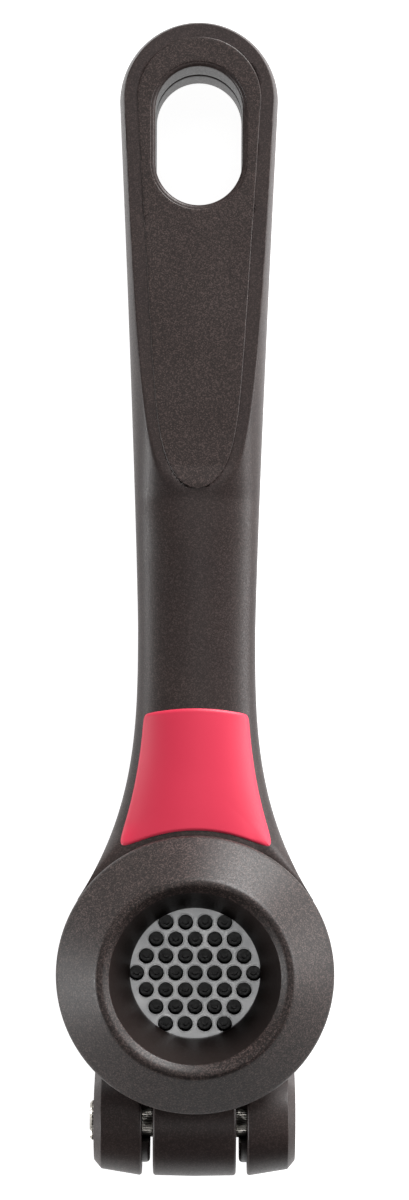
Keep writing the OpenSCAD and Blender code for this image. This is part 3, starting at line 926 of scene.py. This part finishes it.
@dataclass(frozen=True)
class LeverForm:
    """What differs between the two levers; heights are millimetres up from the table."""

    body: str
    sign: float
    inset: float
    head_inset: float
    parting: float
    level: float
    head_level: float
    head_from: float
    head_over: float
    plane: float
    rise: float
    cap_slope: float
    tuck: HeadTuck


def front_form() -> LeverForm:
    """The front lever, whose outer face looks up and rises to the collar's seat."""
    return LeverForm(
        body=FRONT,
        sign=1.0,
        inset=0.0,
        head_inset=0.0,
        parting=P.front_bot + 5.6,
        level=P.front_bot + LINER_PROUD,
        head_level=P.front_bot + 7.6,
        head_from=0.45,
        head_over=0.55,
        plane=P.front_top - 0.15,
        rise=P.collar_seat + 0.7 - P.front_top,
        cap_slope=0.12,
        tuck=HeadTuck(
            radius=P.collar_r - 0.5, height=P.collar_seat - SHOULDER + HIDDEN, slope=1.0, upwards=True
        ),
    )


def rear_form() -> LeverForm:
    """The rear lever, a trace narrower; the press lies on its outer face, so nothing stands out of it."""
    return LeverForm(
        body=REAR,
        sign=-1.0,
        inset=0.3,
        head_inset=0.6,
        parting=P.rear_top - 5.4,
        level=P.rear_top - LINER_PROUD,
        head_level=P.head_top,
        head_from=0.55,
        head_over=0.3,
        plane=0.0,
        rise=0.0,
        cap_slope=0.0,
        tuck=HeadTuck(radius=P.collar_r - 0.6, height=P.head_top - HIDDEN, slope=0.0, upwards=False),
    )


class Lever:
    """One moulded lever with its cover."""

    def __init__(self, book: FinishBook, form: LeverForm) -> None:
        """Sets up the lever's faces.

        Args:
            book: The finishes.
            form: The lever's heights.
        """
        self.book, self.form, self.tuck = book, form, form.tuck
        self.side = form.body.removesuffix("_lever")
        self.plan = LeverPlan(inset=form.inset, head_inset=form.head_inset)
        sign = form.sign
        self.outer = OuterFace(
            self.plan, sign * form.parting, sign * form.plane, head_rise=form.rise, cap_slope=form.cap_slope
        )
        heights = (-sign * form.parting, -sign * form.level, -sign * form.head_level)
        self.inner = InnerFace(self.plan, *heights, form.head_from, form.head_over)

    def shell(self) -> bpy.types.Object:
        """Builds the lever's long moulding."""
        maker = MeshMaker(f"{self.side}_lever_moulding")
        LeverShell(self.plan).build(maker, self.outer, self.inner, self.tuck, self.form.sign)
        return self.book.piece(maker, self.form.body, LEVER_NYLON, "lever_nylon", f"{self.side}_frame")

    def cover(self) -> bpy.types.Object:
        """Builds the paddle's cover, a thin plate that stands a little proud of the outer face."""
        maker = MeshMaker(f"{self.side}_paddle_cover")
        CoverPlate(self.plan, self.outer, self.form.sign).build(maker)
        return self.book.piece(maker, self.form.body, COVER_NYLON, "cover_nylon", f"{self.side}_cover")


@dataclass(frozen=True)
class CoverPlate:
    """Cover on a paddle: round at the tip, narrowing to a rounded end, with the hanging hole in it."""

    plan: LeverPlan
    face: OuterFace
    sign: float
    proud: float = 0.13
    edge: float = 0.3
    edge_steps: int = 7
    hole_grow: float = 0.7
    hole_round: float = 0.02
    hole_to_split: float = 2.6
    depth: float = 1.2
    rows: int = 150
    columns: int = 45
    side_steps: int = 28
    arc_steps: int = 73
    middle_rings: int = 8

    def lift(self, grid: np.ndarray, drop: np.ndarray) -> np.ndarray:
        """Puts plan points on the lever's outer face, raised by proud and lowered by drop."""
        plain = replace(self.face, hole_round=self.hole_round, pocket=0.0)
        h = plain.height(grid[..., 0], grid[..., 1])
        return raised(grid, self.sign * (h + self.proud - drop))

    def build(self, maker: MeshMaker) -> None:
        """Adds the cover's rows below the hole, its ring round the hole and their edges.

        From the plate's lower edge inwards, step k of the rounded edge lies edge * (1 - cos k) in from the
        border and edge * (1 - sin k) below the face, for angles k from 0 to a quarter turn.
        """
        plan, shape = self.plan, CoverPlan(self.plan)
        split = plan.hang_y - plan.hang_len / 2 - self.hole_to_split
        bend = np.linspace(0, math.pi / 2, self.edge_steps)
        gaps = np.concatenate([[0.0], self.edge * (1 - np.cos(bend))])
        falls = np.concatenate([[self.depth], self.edge * (1 - np.sin(bend))])
        # Rows below the hole, from the rounded end upwards
        u = np.sin(np.linspace(math.pi / 2, 0, self.rows))
        u = u[u > (plan.tip_y - split) / shape.length]
        ys = np.concatenate([plan.tip_y - shape.length * u, [split]])
        half = shape.half(ys)[:, None]
        reach = np.minimum(gaps[-1], half * 0.5)
        left = np.minimum(gaps[None], reach) - half
        flat = np.linspace(-1, 1, self.columns)[None, 1:-1] * (half - reach)
        x = np.concatenate([left, flat, -left[:, ::-1]], axis=1)
        row_drop = np.concatenate([falls, np.zeros(self.columns - 2), falls[::-1]])
        rows = np.stack([x, np.broadcast_to(ys[:, None], x.shape)], axis=-1)
        maker.grid(self.lift(rows, np.broadcast_to(row_drop, x.shape)), flip=self.sign < 0)
        # Ring round the hole
        side = np.linspace(split, plan.tip_y, self.side_steps)[:-1]
        base_x = x[-1, 1:-1]
        outline = around_hole(shape.half(side), side, (shape.end_r, plan.tip_y), self.arc_steps, base_x)
        way, dist, stop = plan.hole_rays(outline, self.hole_grow)
        on_edge = np.arange(len(outline)) < len(outline) - len(base_x)
        base_drop = np.concatenate([np.zeros(len(outline) - len(base_x)), row_drop[1:-1]])
        level = np.zeros(len(outline))
        rings = [dist - gap for gap in gaps]
        drops = [np.where(on_edge, fall, base_drop) for fall in falls]
        start = rings[-1]
        for share in np.linspace(0, 1, self.middle_rings)[1:]:
            rings.append(start + (stop + gaps[-1] - start) * share)
            drops.append(level)
        for gap, fall in zip(gaps[-2::-1], falls[-2::-1]):
            rings.append(stop + gap)
            drops.append(level + fall)
        points = plan.ray_points(way, rings)
        maker.grid(self.lift(points, np.array(drops)), wrap=True, flip=self.sign < 0)


@dataclass
class ThumbPad:
    """Soft pad let into the front lever below the neck, with its lower side following the collar."""

    book: FinishBook
    face: OuterFace
    tuck: HeadTuck
    run: float = 47.6
    collar_gap: float = 0.66
    side_gap: float = 1.38
    flare: float = 0.8
    flare_run: float = 30.0
    top_bow: float = 1.15
    corner_power: tuple[float, float] = (26.0, 10.0)
    proud: float = 0.28
    crown: float = 0.22
    crown_power: float = 3.0
    edge: float = 0.7
    depth: float = 0.35
    steps: int = 91
    bend_rounds: int = 6

    def side(self, y: np.ndarray) -> np.ndarray:
        """Half the pad's width at y: the lever's half width less side_gap and flare * (way down)^3."""
        down = (P.cup_y + self.run - y) / self.flare_run
        return self.face.plan.half(y) - self.side_gap - self.flare * down**3

    def build(self) -> bpy.types.Object:
        """Builds the pad on a grid whose rows bend from the shallow upper edge to the round lower one.

        Row v runs from the collar's circle (v = -1) to the upper edge, a shallow arc (v = 1). Towards the
        border the surface falls along a quarter circle. The corners are rounded by drawing each point of
        the square in by max(|u|, |v|) / (|u|^n + |v|^n)^(1/n).
        """
        line = np.sin(np.linspace(-math.pi / 2, math.pi / 2, self.steps))
        u, v = np.meshgrid(line, line)
        power = np.where(v > 0, *self.corner_power)
        squeeze = (np.abs(u) ** power + np.abs(v) ** power) ** (1 / power)
        reach = np.maximum(np.abs(u), np.abs(v))
        scale = np.where(squeeze > TINY, reach / np.maximum(squeeze, TINY), 1.0)
        u2, v2 = u * scale, v * scale
        top = P.cup_y + self.run
        r = P.collar_r + self.collar_gap
        half_top = self.side(np.array(top))
        y = P.cup_y + r + (top - P.cup_y - r) * (v2 + 1) / 2
        for _ in range(self.bend_rounds):
            x = u2 * self.side(y)
            low = P.cup_y + np.sqrt(np.maximum(r * r - x * x, 1.0))
            high = top - self.top_bow * (x / half_top) ** 2
            y = low + (high - low) * (v2 + 1) / 2
        half = self.side(y)
        x = u2 * half
        gap = np.minimum((1 - np.abs(u)) * half, (1 - np.abs(v)) * (high - low) / 2)
        swell = self.crown * (1 - np.abs(u) ** self.crown_power) * (1 - np.abs(v) ** self.crown_power)
        sheet = self.tuck.apply(np.stack([x, y, self.face.height(x, y)], axis=-1))
        sheet[..., 2] += self.proud + swell - fillet_drop(gap, self.edge)
        maker = MeshMaker("thumb_pad_moulding")
        maker.grid(sheet)
        border = np.concatenate([sheet[0, :-1], sheet[:-1, -1], sheet[-1, :0:-1], sheet[:0:-1, 0]])
        maker.grid(np.stack([border - np.array([0, 0, self.depth]), border]), wrap=True)
        return self.book.piece(maker, FRONT, PAD_ELASTOMER, "pad_elastomer", "thumb_pad")


@dataclass
class FrontHead:
    """Head of the front lever: the ring that holds the cup, the knuckle and the web between them."""

    book: FinishBook
    ring_r: float = 17.5
    bore_r: float = 13.9
    ring_above_cup: float = 1.0
    seat_inset: float = 1.0
    shoulder_inset: float = 0.5
    knuckle_r: float = 10.0
    knuckle_half: float = 7.5
    knuckle_full: float = 0.15
    pin_bore_r: float = 3.05
    edge: float = 0.55
    web_from: float = 3.6
    web_into_ring: float = 1.0
    web_rows: int = 14
    step: float = 0.8
    web_step: float = 1.0
    ring_turn: int = 160
    knuckle_turn: int = 144

    @property
    def low(self) -> float:
        """Lower end of the ring and of the web."""
        return node_box("sieve_cup")[0][2] + self.ring_above_cup

    def bowl(self) -> bpy.types.Object:
        """Builds the turned ring and shoulder."""
        lip, low = P.collar_r - self.shoulder_inset, self.low
        shoulder_bot = P.collar_seat - SHOULDER
        seat_r = self.ring_r - self.seat_inset
        outline = rounded(
            [
                (self.bore_r, P.cup_top, 0),
                (self.bore_r, low, 0.4),
                (self.ring_r, low, 1.2),
                (self.ring_r, shoulder_bot - (lip - self.ring_r), 5.0),
                (lip, shoulder_bot, 1.0),
                (lip, P.collar_seat, 0.3),
                (seat_r, P.collar_seat, 0),
                (seat_r, P.cup_top, 0),
                (self.bore_r, P.cup_top, 0),
            ]
        )
        maker = MeshMaker("front_head_ring")
        ring = turned(dense(outline, self.step), (0, P.cup_y, 0), Axis.Z, self.ring_turn)
        maker.grid(ring, wrap=True, flip=True)
        return self.book.piece(maker, FRONT, LEVER_NYLON, "lever_nylon", "front_frame")

    def knuckle(self) -> bpy.types.Object:
        """Builds the knuckle, a barrel a trace fuller in its middle, and its web to the ring."""
        h, end_r = self.knuckle_half, self.knuckle_r - self.knuckle_full
        outline = rounded(
            [
                (self.pin_bore_r, -h, 0),
                (end_r, -h, self.edge),
                (self.knuckle_r, 0.0, 30.0),
                (end_r, h, self.edge),
                (self.pin_bore_r, h, 0),
                (self.pin_bore_r, -h, 0),
            ]
        )
        maker = MeshMaker("front_knuckle")
        centre = (0, P.hinge_y, P.hinge_z)
        barrel = turned(dense(outline, self.step), centre, Axis.X, self.knuckle_turn)
        maker.grid(barrel, wrap=True, flip=True)
        low, top, side = self.low, P.collar_seat - SHOULDER, h - self.knuckle_full
        corners = [(0, low, 0), (side, low, 0.5), (side, top, 0.3), (0, top, 0)]
        right = dense(rounded(corners), self.web_step)
        loop = np.concatenate([right, right[-2:0:-1] * np.array([-1, 1])])
        y_ends = (P.hinge_y + self.web_from, P.cup_y - self.bore_r - self.web_into_ring)
        ys = np.linspace(*y_ends, self.web_rows)[:, None]
        web = np.stack(np.broadcast_arrays(loop[None, :, 0], ys, loop[None, :, 1]), axis=-1)
        maker.grid(web, wrap=True)
        return self.book.piece(maker, FRONT, LEVER_NYLON, "lever_nylon", "front_frame")


@dataclass
class FunnelCollar:
    """Funnel collar: a grained cone outside, a rounded lip and a polished funnel down to the plate, coloured
    darker than the cone as painted shade.
    """

    book: FinishBook
    rim_r: float = 15.3
    throat_r: float = 11.65
    lip_w: float = 1.8
    lip_rise: float = 0.18
    edge_h: float = 1.15
    skin: float = 0.05
    seat_gap: float = 0.02
    under_r: float = 17.0
    spigot_r: float = 16.3
    spigot_gap: float = 0.1
    spigot_top: float = 0.5
    inner_drop: float = 1.0
    join: tuple[float, float] = (0.1, 0.3)
    bend: tuple[float, float] = (0.6, 2.6)
    throat_draft: float = 0.1
    throat_h: float = 1.0
    step: float = 0.5
    turn: int = 192

    def build(self) -> None:
        """Builds the cone and the funnel as two surfaces of one moulding, which meet inside the lip."""
        seat, rim, out = P.collar_seat, P.rim_z, P.collar_r - self.skin
        spigot, floor = P.cup_top + self.spigot_gap, seat + self.seat_gap
        inner = (self.rim_r - self.skin, rim - self.inner_drop)
        meet = (inner[0] - self.join[0], inner[1] - self.join[1], 0)
        cone = [
            meet,
            (*inner, 0.3),
            (self.rim_r + self.lip_w, rim + self.lip_rise, 2.4),
            (out, seat + self.edge_h, 1.3),
            (out, floor, 0.3),
            (self.under_r, floor, 0),
        ]
        funnel = [
            (self.spigot_r, seat - self.spigot_top, 0),
            (self.spigot_r, spigot, 0.3),
            (self.throat_r, spigot, 0.25),
            (self.throat_r + self.throat_draft, spigot + self.throat_h, 1.0),
            (self.rim_r - self.bend[0], rim - self.bend[1], 3.0),
            meet,
        ]
        # The funnel takes a darker copy of the collar's nylon: painted shade inside the funnel
        for part, corners, finish in (("cone", cone, COLLAR_NYLON), ("funnel", funnel, FUNNEL_NYLON_SHADED)):
            maker = MeshMaker(f"funnel_collar_{part}")
            outline = dense(rounded(corners, steps=8), self.step)
            maker.grid(turned(outline, (0, P.cup_y, 0), Axis.Z, self.turn), wrap=True, flip=True)
            self.book.piece(maker, FRONT, finish, "collar_nylon", "funnel_collar")


@dataclass
class SieveRims:
    """The bright burnished rim round each of the plate's punched holes."""

    book: FinishBook
    pitch: float = 3.5
    hole_d: float = 2.83
    rings: int = 3
    rim_r: float = 0.13
    rim_out: float = 0.06
    sunk: float = 0.03
    rim_steps: int = 7
    turn: int = 28

    def spots(self) -> np.ndarray:
        """Middles of the holes, in rows a sixth of a turn apart."""
        line = np.arange(-self.rings, self.rings + 1)
        q, r = np.meshgrid(line, line)
        keep = np.abs(q + r) <= self.rings
        q, r = q[keep], r[keep]
        return np.stack([self.pitch * (q + r / 2), self.pitch * r * math.sqrt(3) / 2], axis=1)

    def build(self) -> bpy.types.Object:
        """Builds one small half-sunk ring round each hole: a circle of rim_r carried round its edge."""
        maker = MeshMaker("sieve_hole_rims")
        angle = np.linspace(0, 2 * math.pi, self.rim_steps)
        middle = self.hole_d / 2 + self.rim_out
        outline = np.stack([middle + self.rim_r * np.cos(angle), self.rim_r * np.sin(angle)], axis=1)
        for x, y in self.spots():
            centre = (x, P.cup_y + y, P.cup_top - self.sunk)
            maker.grid(turned(outline, centre, Axis.Z, self.turn), wrap=True)
        return self.book.piece(maker, FRONT, CUP_STEEL, "cup_steel")


@dataclass
class RearHead:
    """Head of the rear lever: its round plate, the two ears with their bosses and the feet under them."""

    book: FinishBook
    head_inset: float = 0.6
    ear_in: float = 9.5
    ear_taper: float = 1.3
    ear_hollow: float = 0.1
    edge_w: float = 1.35
    edge_drop: float = 1.6
    barrel_r: float = 10.0
    bore_r: float = 3.0
    arm_run: float = 12.75
    foot_inset: float = 0.6
    foot_back: float = 5.0
    foot_short: float = 9.0
    foot_seam: float = 2.0
    foot_end: tuple[tuple[float, float], ...] = ((0.0, 1.2), (0.4, 0.5), (1.2, 0.1))
    foot_from: float = 3.0
    foot_rows: int = 10
    boss_r: float = 7.5
    boss_h: float = 1.45
    boss_slot: float = 3.1
    boss_lift: float = 0.02
    plate_step: float = 1.2
    plate_turn: int = 160
    ear_step: float = 0.8
    ear_turn: int = 181
    boss_step: float = 0.7
    boss_turn: int = 97
    least_slope: float = 0.05

    def plate(self) -> bpy.types.Object:
        """Builds the round plate under the plunger."""
        r = P.collar_r - self.head_inset
        outline = rounded([(0, 0.0, 0), (r, 0.0, 1.4), (r, P.head_top, 0.9), (0, P.head_top, 0)])
        maker = MeshMaker("rear_head_plate")
        disc = turned(dense(outline, self.plate_step), (0, P.cup_y, 0), Axis.Z, self.plate_turn)
        maker.grid(disc, wrap=True, flip=True)
        return self.book.piece(maker, REAR, LEVER_NYLON, "lever_nylon", "rear_frame")

    def ears(self) -> bpy.types.Object:
        """Builds both ears: tapered barrels on the hinge axis with a cut-off outer edge, standing on feet."""
        r, out = self.barrel_r, P.ear_out
        flat = r - self.ear_taper
        maker = MeshMaker("rear_ears")
        outline = rounded(
            [
                (self.bore_r, self.ear_in, 0),
                (r - self.ear_hollow, self.ear_in, 0.5),
                (flat, out - self.edge_w, 0.35),
                (flat - self.edge_drop, out, 0.35),
                (0, out, 0),
            ]
        )
        for sign in (1.0, -1.0):
            maker.grid(self._barrel(dense(outline, self.ear_step), sign), wrap=True, flip=sign > 0)
            self._foot(maker, sign)
            self._boss(maker, sign)
        return self.book.piece(maker, REAR, LEVER_NYLON, "lever_nylon", "rear_frame")

    def _barrel(self, profile: np.ndarray, sign: float) -> np.ndarray:
        """Grid of an ear: a barrel round the hinge that runs out into an arm down to the round plate.

        At angle a from +Y the outline is the profile's radius r, but from straight down up to the tangent's
        angle t it is the least of r / cos(a - t), the arm's end at run / cos(a) and the underside at r /
        -sin(a).

        Args:
            profile: Rows of (radius, distance from the middle).
            sign: 1 for the right ear, -1 for the left.

        Returns:
            Points as profile rows by angles by 3.
        """
        drop = P.head_top - P.hinge_z
        tangent = math.acos(self.barrel_r / math.hypot(self.arm_run, drop)) + math.atan2(drop, self.arm_run)
        turn = np.linspace(-math.pi, math.pi, self.ear_turn)[:-1]
        r = profile[:, 0][:, None]
        least = self.least_slope
        lean = np.maximum(np.cos(turn - tangent), least)
        end = np.maximum(self.arm_run - self.barrel_r + r, 0) / np.maximum(np.cos(turn), least)
        under = r / np.maximum(-np.sin(turn), least)
        arm = np.minimum(np.minimum(r / lean, end), under)
        in_arm = (turn > -math.pi / 2) & (turn < tangent)
        return about_hinge(sign * profile[:, 1][:, None], np.where(in_arm, np.maximum(arm, r), r), turn)

    def _foot(self, maker: MeshMaker, sign: float) -> None:
        """Adds the foot that carries an ear down to the table and along to the round plate.

        Near its free end each section is drawn in towards its middle by the second value of foot_end, at
        the first value's distance from the end, which rounds the end.
        """
        x0, x1 = self.ear_in, P.ear_out - self.foot_inset
        y0, y1 = P.hinge_y - self.foot_back, P.cup_y - self.foot_short
        top, seam = P.head_top - HIDDEN, x0 + self.foot_seam
        sides = [(x0, 0.0, 0.3), (x0, top, 0.4), (x1, top, 0.9), (x1, 0.0, 1.2)]
        section = rounded([(seam, 0.0, 0), *sides, (seam, 0.0, 0)])
        run, pull = np.array(self.foot_end).T
        ys = np.concatenate([y0 + run, np.linspace(y0 + self.foot_from, y1, self.foot_rows)])
        pull = np.concatenate([pull, np.zeros(self.foot_rows)])
        mid = np.array([(x0 + x1) / 2, P.head_top / 2])
        size = np.array([(x1 - x0) / 2, P.head_top / 2])
        loops = section[None] - (section - mid)[None] / size * pull[:, None, None]
        low = np.maximum(loops[..., 1], 0.0)
        grid = np.stack([sign * loops[..., 0], np.broadcast_to(ys[:, None], low.shape), low], axis=-1)
        cap = np.broadcast_to(grid[:1].mean(axis=1, keepdims=True), grid[:1].shape)
        maker.grid(np.concatenate([cap, grid]), flip=sign > 0)

    def _boss(self, maker: MeshMaker, sign: float) -> None:
        """Adds the low boss inside an ear, cut open over the pin."""
        start = math.asin(self.boss_slot / self.boss_r)
        turn = np.linspace(math.pi / 2 + start, 2.5 * math.pi - start, self.boss_turn)
        corners = [
            (self.bore_r, self.boss_lift, 0),
            (self.bore_r, self.boss_h, 0.15),
            (self.boss_r, self.boss_h, 0.7),
            (self.boss_r, 0.0, 0),
        ]
        outline = dense(rounded(corners), self.boss_step)
        r, h = outline[:, 0][:, None], outline[:, 1][:, None]
        x = np.broadcast_to(sign * (self.ear_in - h), (len(outline), len(turn)))
        y, z = r * np.cos(turn), r * np.sin(turn)
        in_slot = (z > 0) & (np.abs(y) < self.boss_slot)
        y = np.where(in_slot, np.sign(y + TINY) * self.boss_slot, y)
        grid = np.stack([x, P.hinge_y + y, P.hinge_z + z], axis=-1)
        maker.grid(grid, flip=sign < 0)
        for col in (0, -1):
            face = grid[:, col]
            maker.grid(np.stack([face, np.broadcast_to(face[:1], face.shape)]), flip=(col == 0) == (sign > 0))


@dataclass
class HingePin:
    """Steel hinge pin with a straight knurl on its head and on its shank where the ears grip it.

    knurl gives the shank's stations from the middle out to an ear and whether the knurl is cut there.
    """

    book: FinishBook
    shank_r: float = 3.0
    head_r: float = 3.6
    head_run: float = 8.0
    dome: tuple[float, float] = (0.5, 0.45)
    teeth: int = 24
    tooth_depth: float = 0.32
    tooth_from: tuple[float, float] = (1.9, 1.2)
    fine_teeth: int = 40
    fine_depth: float = 0.16
    fine_from: float = 2.0
    knurl: tuple[tuple[float, int], ...] = ((7.2, 0), (7.4, 1), (8.0, 1), (9.6, 1))
    steps_a_tooth: int = 10
    step: float = 0.35

    def _tooth(self, turn: np.ndarray, teeth: int) -> np.ndarray:
        """Depth share at each angle: 1 at a tooth's foot and 0 at its crest, on straight flanks."""
        return np.abs(((turn * teeth / (2 * math.pi)) % 1.0) - 0.5) * 2

    def build(self) -> bpy.types.Object:
        """Builds the shank and the head with its domed edge."""
        maker = MeshMaker("knurled_hinge_pin")
        lo, hi = node_box("hinge_pin")
        head_end, tip = float(lo[0]), float(hi[0])
        inner = head_end + PIN_HEAD_OUT + self.head_run
        seg = self.teeth * self.steps_a_tooth
        turn = np.arange(seg) * 2 * math.pi / seg
        dome_r, dome_h = self.dome
        corners = [
            (0, head_end, 0),
            (self.head_r - dome_r, head_end, 0.3),
            (self.head_r, head_end + dome_h, 0.3),
            (self.head_r, inner, 0),
        ]
        head = dense(rounded(corners), self.step)
        cut_from, cut_run = self.tooth_from
        depth = self.tooth_depth * smooth_step((head[:, 0] - cut_from) / cut_run)
        reach = head[:, 0][:, None] - depth[:, None] * self._tooth(turn, self.teeth)
        maker.grid(about_hinge(head[:, 1][:, None], reach, turn), wrap=True)
        at, cut = np.array(self.knurl).T
        stations = np.concatenate([[inner - self.fine_from], -at[::-1], at, [tip]])
        depth = np.concatenate([[0.0], cut[::-1], cut, [0.0]]) * self.fine_depth
        reach = self.shank_r - depth[:, None] * self._tooth(turn, self.fine_teeth)
        maker.grid(about_hinge(stations[:, None], reach, turn), wrap=True)
        return self.book.piece(maker, REAR, PIN_STEEL, "pin_steel", "hinge_pin")


def dress_nodes(book: FinishBook) -> None:
    """Puts finishes on the CAD nodes that stay visible.

    Args:
        book: The finishes.
    """
    plan = {
        "sieve_cup": CUP_STEEL,
        "pin_plate": PLUNGER_ACETAL,
        "plunger": PLUNGER_ACETAL,
        "plunger_screws": SCREW_STEEL,
        "collar_screws": SCREW_STEEL,
        "front_liner": COVER_NYLON,
        "rear_liner": COVER_NYLON,
        "front_liner_screws": SCREW_STEEL,
        "rear_liner_screws": SCREW_STEEL,
    }
    for name, finish in plan.items():
        book.dress(frame["nodes"][name], finish)
        LOG.info("node %s takes %s", name, finish.name)


# ---------------------------------------------------------------- stage


@dataclass(frozen=True)
class SoftBox:
    """One rectangular soft box that faces the press."""

    name: str
    place: tuple[float, float, float]
    size: tuple[float, float]
    watts: float

    def hang(self) -> None:
        """Adds the light, turned so that it shines at the origin."""
        light = bpy.data.lights.new(self.name, "AREA")
        light.shape = "RECTANGLE"
        light.size, light.size_y = self.size
        light.energy = self.watts
        obj = bpy.data.objects.new(self.name, light)
        obj.location = self.place
        away = Vector(self.place)
        obj.rotation_euler = away.to_track_quat("Z", "Y").to_euler()
        bpy.context.scene.collection.objects.link(obj)


@dataclass(frozen=True)
class Studio:
    """Pale floor with painted light glowing round the press, soft lights and the camera straight above the
    press.
    """

    camera_height: float = 0.700
    camera_x: float = 0.00138
    camera_y: float = 0.0004
    lens: float = 113.5
    roll_deg: float = 0.26
    floor_half: float = 3.0
    floor_drop: float = 2e-4
    # Painted light: how strongly the floor glows near the press, and the distances from it over which the
    # glow fades out
    floor_painted_glow: float = 0.94
    painted_glow_reach: tuple[float, float] = (0.12, 0.4)
    sky: float = 0.045
    paper: str = "#c8c8c8"
    paper_roughness: float = 0.9
    sensor: float = 36.0
    clip_end: float = 50.0
    boxes: tuple[SoftBox, ...] = (
        SoftBox("softbox_right", (0.90, 0.08, 0.28), (0.5, 0.4), 6.5),
        SoftBox("softbox_left", (-0.84, -0.22, 0.23), (0.35, 0.3), 5.8),
        SoftBox("softbox_tip", (0.50, 0.88, 0.37), (0.6, 0.45), 24.0),
        SoftBox("softbox_above", (0.02, 0.48, 1.05), (0.6, 0.4), 1.3),
        SoftBox("softbox_plate", (0.03, -0.20, 1.15), (0.2, 0.2), 0.7),
    )

    def floor(self) -> None:
        """Lays a large pale floor just under the press, with painted light: it glows near the press and fades
        out farther away, filling in the shade round and under the press and lighting its lower sides.
        """
        mesh = bpy.data.meshes.new("floor")
        s, z = self.floor_half, -self.floor_drop
        mesh.from_pydata([(-s, -s, z), (s, -s, z), (s, s, z), (-s, s, z)], [], [(0, 1, 2, 3)])
        obj = bpy.data.objects.new("floor", mesh)
        bpy.context.scene.collection.objects.link(obj)
        mat = bpy.data.materials.new("studio_paper_painted_glow")
        mat.use_nodes = True
        tree = mat.node_tree
        shader = tree.nodes["Principled BSDF"]
        shader.inputs["Base Color"].default_value = linear(self.paper)
        shader.inputs["Roughness"].default_value = self.paper_roughness
        shader.inputs["Specular IOR Level"].default_value = 0.0
        shader.inputs["Emission Color"].default_value = linear("#ffffff")
        # Painted light: the floor's emission is strongest near the press and fades out farther from it
        place = add(tree, "ShaderNodeTexCoord")
        away = add(tree, "ShaderNodeVectorMath", {"operation": "LENGTH"}, {0: place.outputs["Object"]})
        glow = add(
            tree,
            "ShaderNodeMapRange",
            {"interpolation_type": "SMOOTHSTEP"},
            {
                "Value": away.outputs["Value"],
                "From Min": self.painted_glow_reach[0],
                "From Max": self.painted_glow_reach[1],
                "To Min": self.floor_painted_glow,
                "To Max": 0.0,
            },
        )
        tree.links.new(glow.outputs["Result"], shader.inputs["Emission Strength"])
        mesh.materials.append(mat)

    def lights(self) -> None:
        """Hangs the soft boxes and adds a dim pale surrounding light."""
        for box in self.boxes:
            box.hang()
        world = bpy.data.worlds.new("studio")
        world.use_nodes = True
        back = world.node_tree.nodes["Background"]
        back.inputs["Color"].default_value = linear("#ffffff")
        back.inputs["Strength"].default_value = self.sky
        bpy.context.scene.world = world

    def camera(self) -> None:
        """Hangs the camera over the press, looking straight down."""
        data = bpy.data.cameras.new("camera")
        data.lens = self.lens
        data.sensor_width = self.sensor
        data.clip_end = self.clip_end
        obj = bpy.data.objects.new("camera", data)
        obj.location = (self.camera_x, self.camera_y, self.camera_height)
        obj.rotation_euler = (0, 0, math.radians(self.roll_deg))
        bpy.context.scene.collection.objects.link(obj)
        bpy.context.scene.camera = obj


def main() -> None:
    """Builds the stage and every piece, in order."""
    logging.basicConfig(level=logging.INFO, format="%(message)s")
    bpy.context.scene.view_settings.view_transform = "Standard"
    studio = Studio()
    studio.camera()
    studio.floor()
    studio.lights()
    book = FinishBook()
    front, rear = Lever(book, front_form()), Lever(book, rear_form())
    for lever in (front, rear):
        lever.shell()
        lever.cover()
    ThumbPad(book, front.outer, front.tuck).build()
    head = FrontHead(book)
    head.bowl()
    head.knuckle()
    FunnelCollar(book).build()
    SieveRims(book).build()
    rear_head = RearHead(book)
    rear_head.plate()
    rear_head.ears()
    HingePin(book).build()
    dress_nodes(book)


if __name__ == "__main__":
    main()
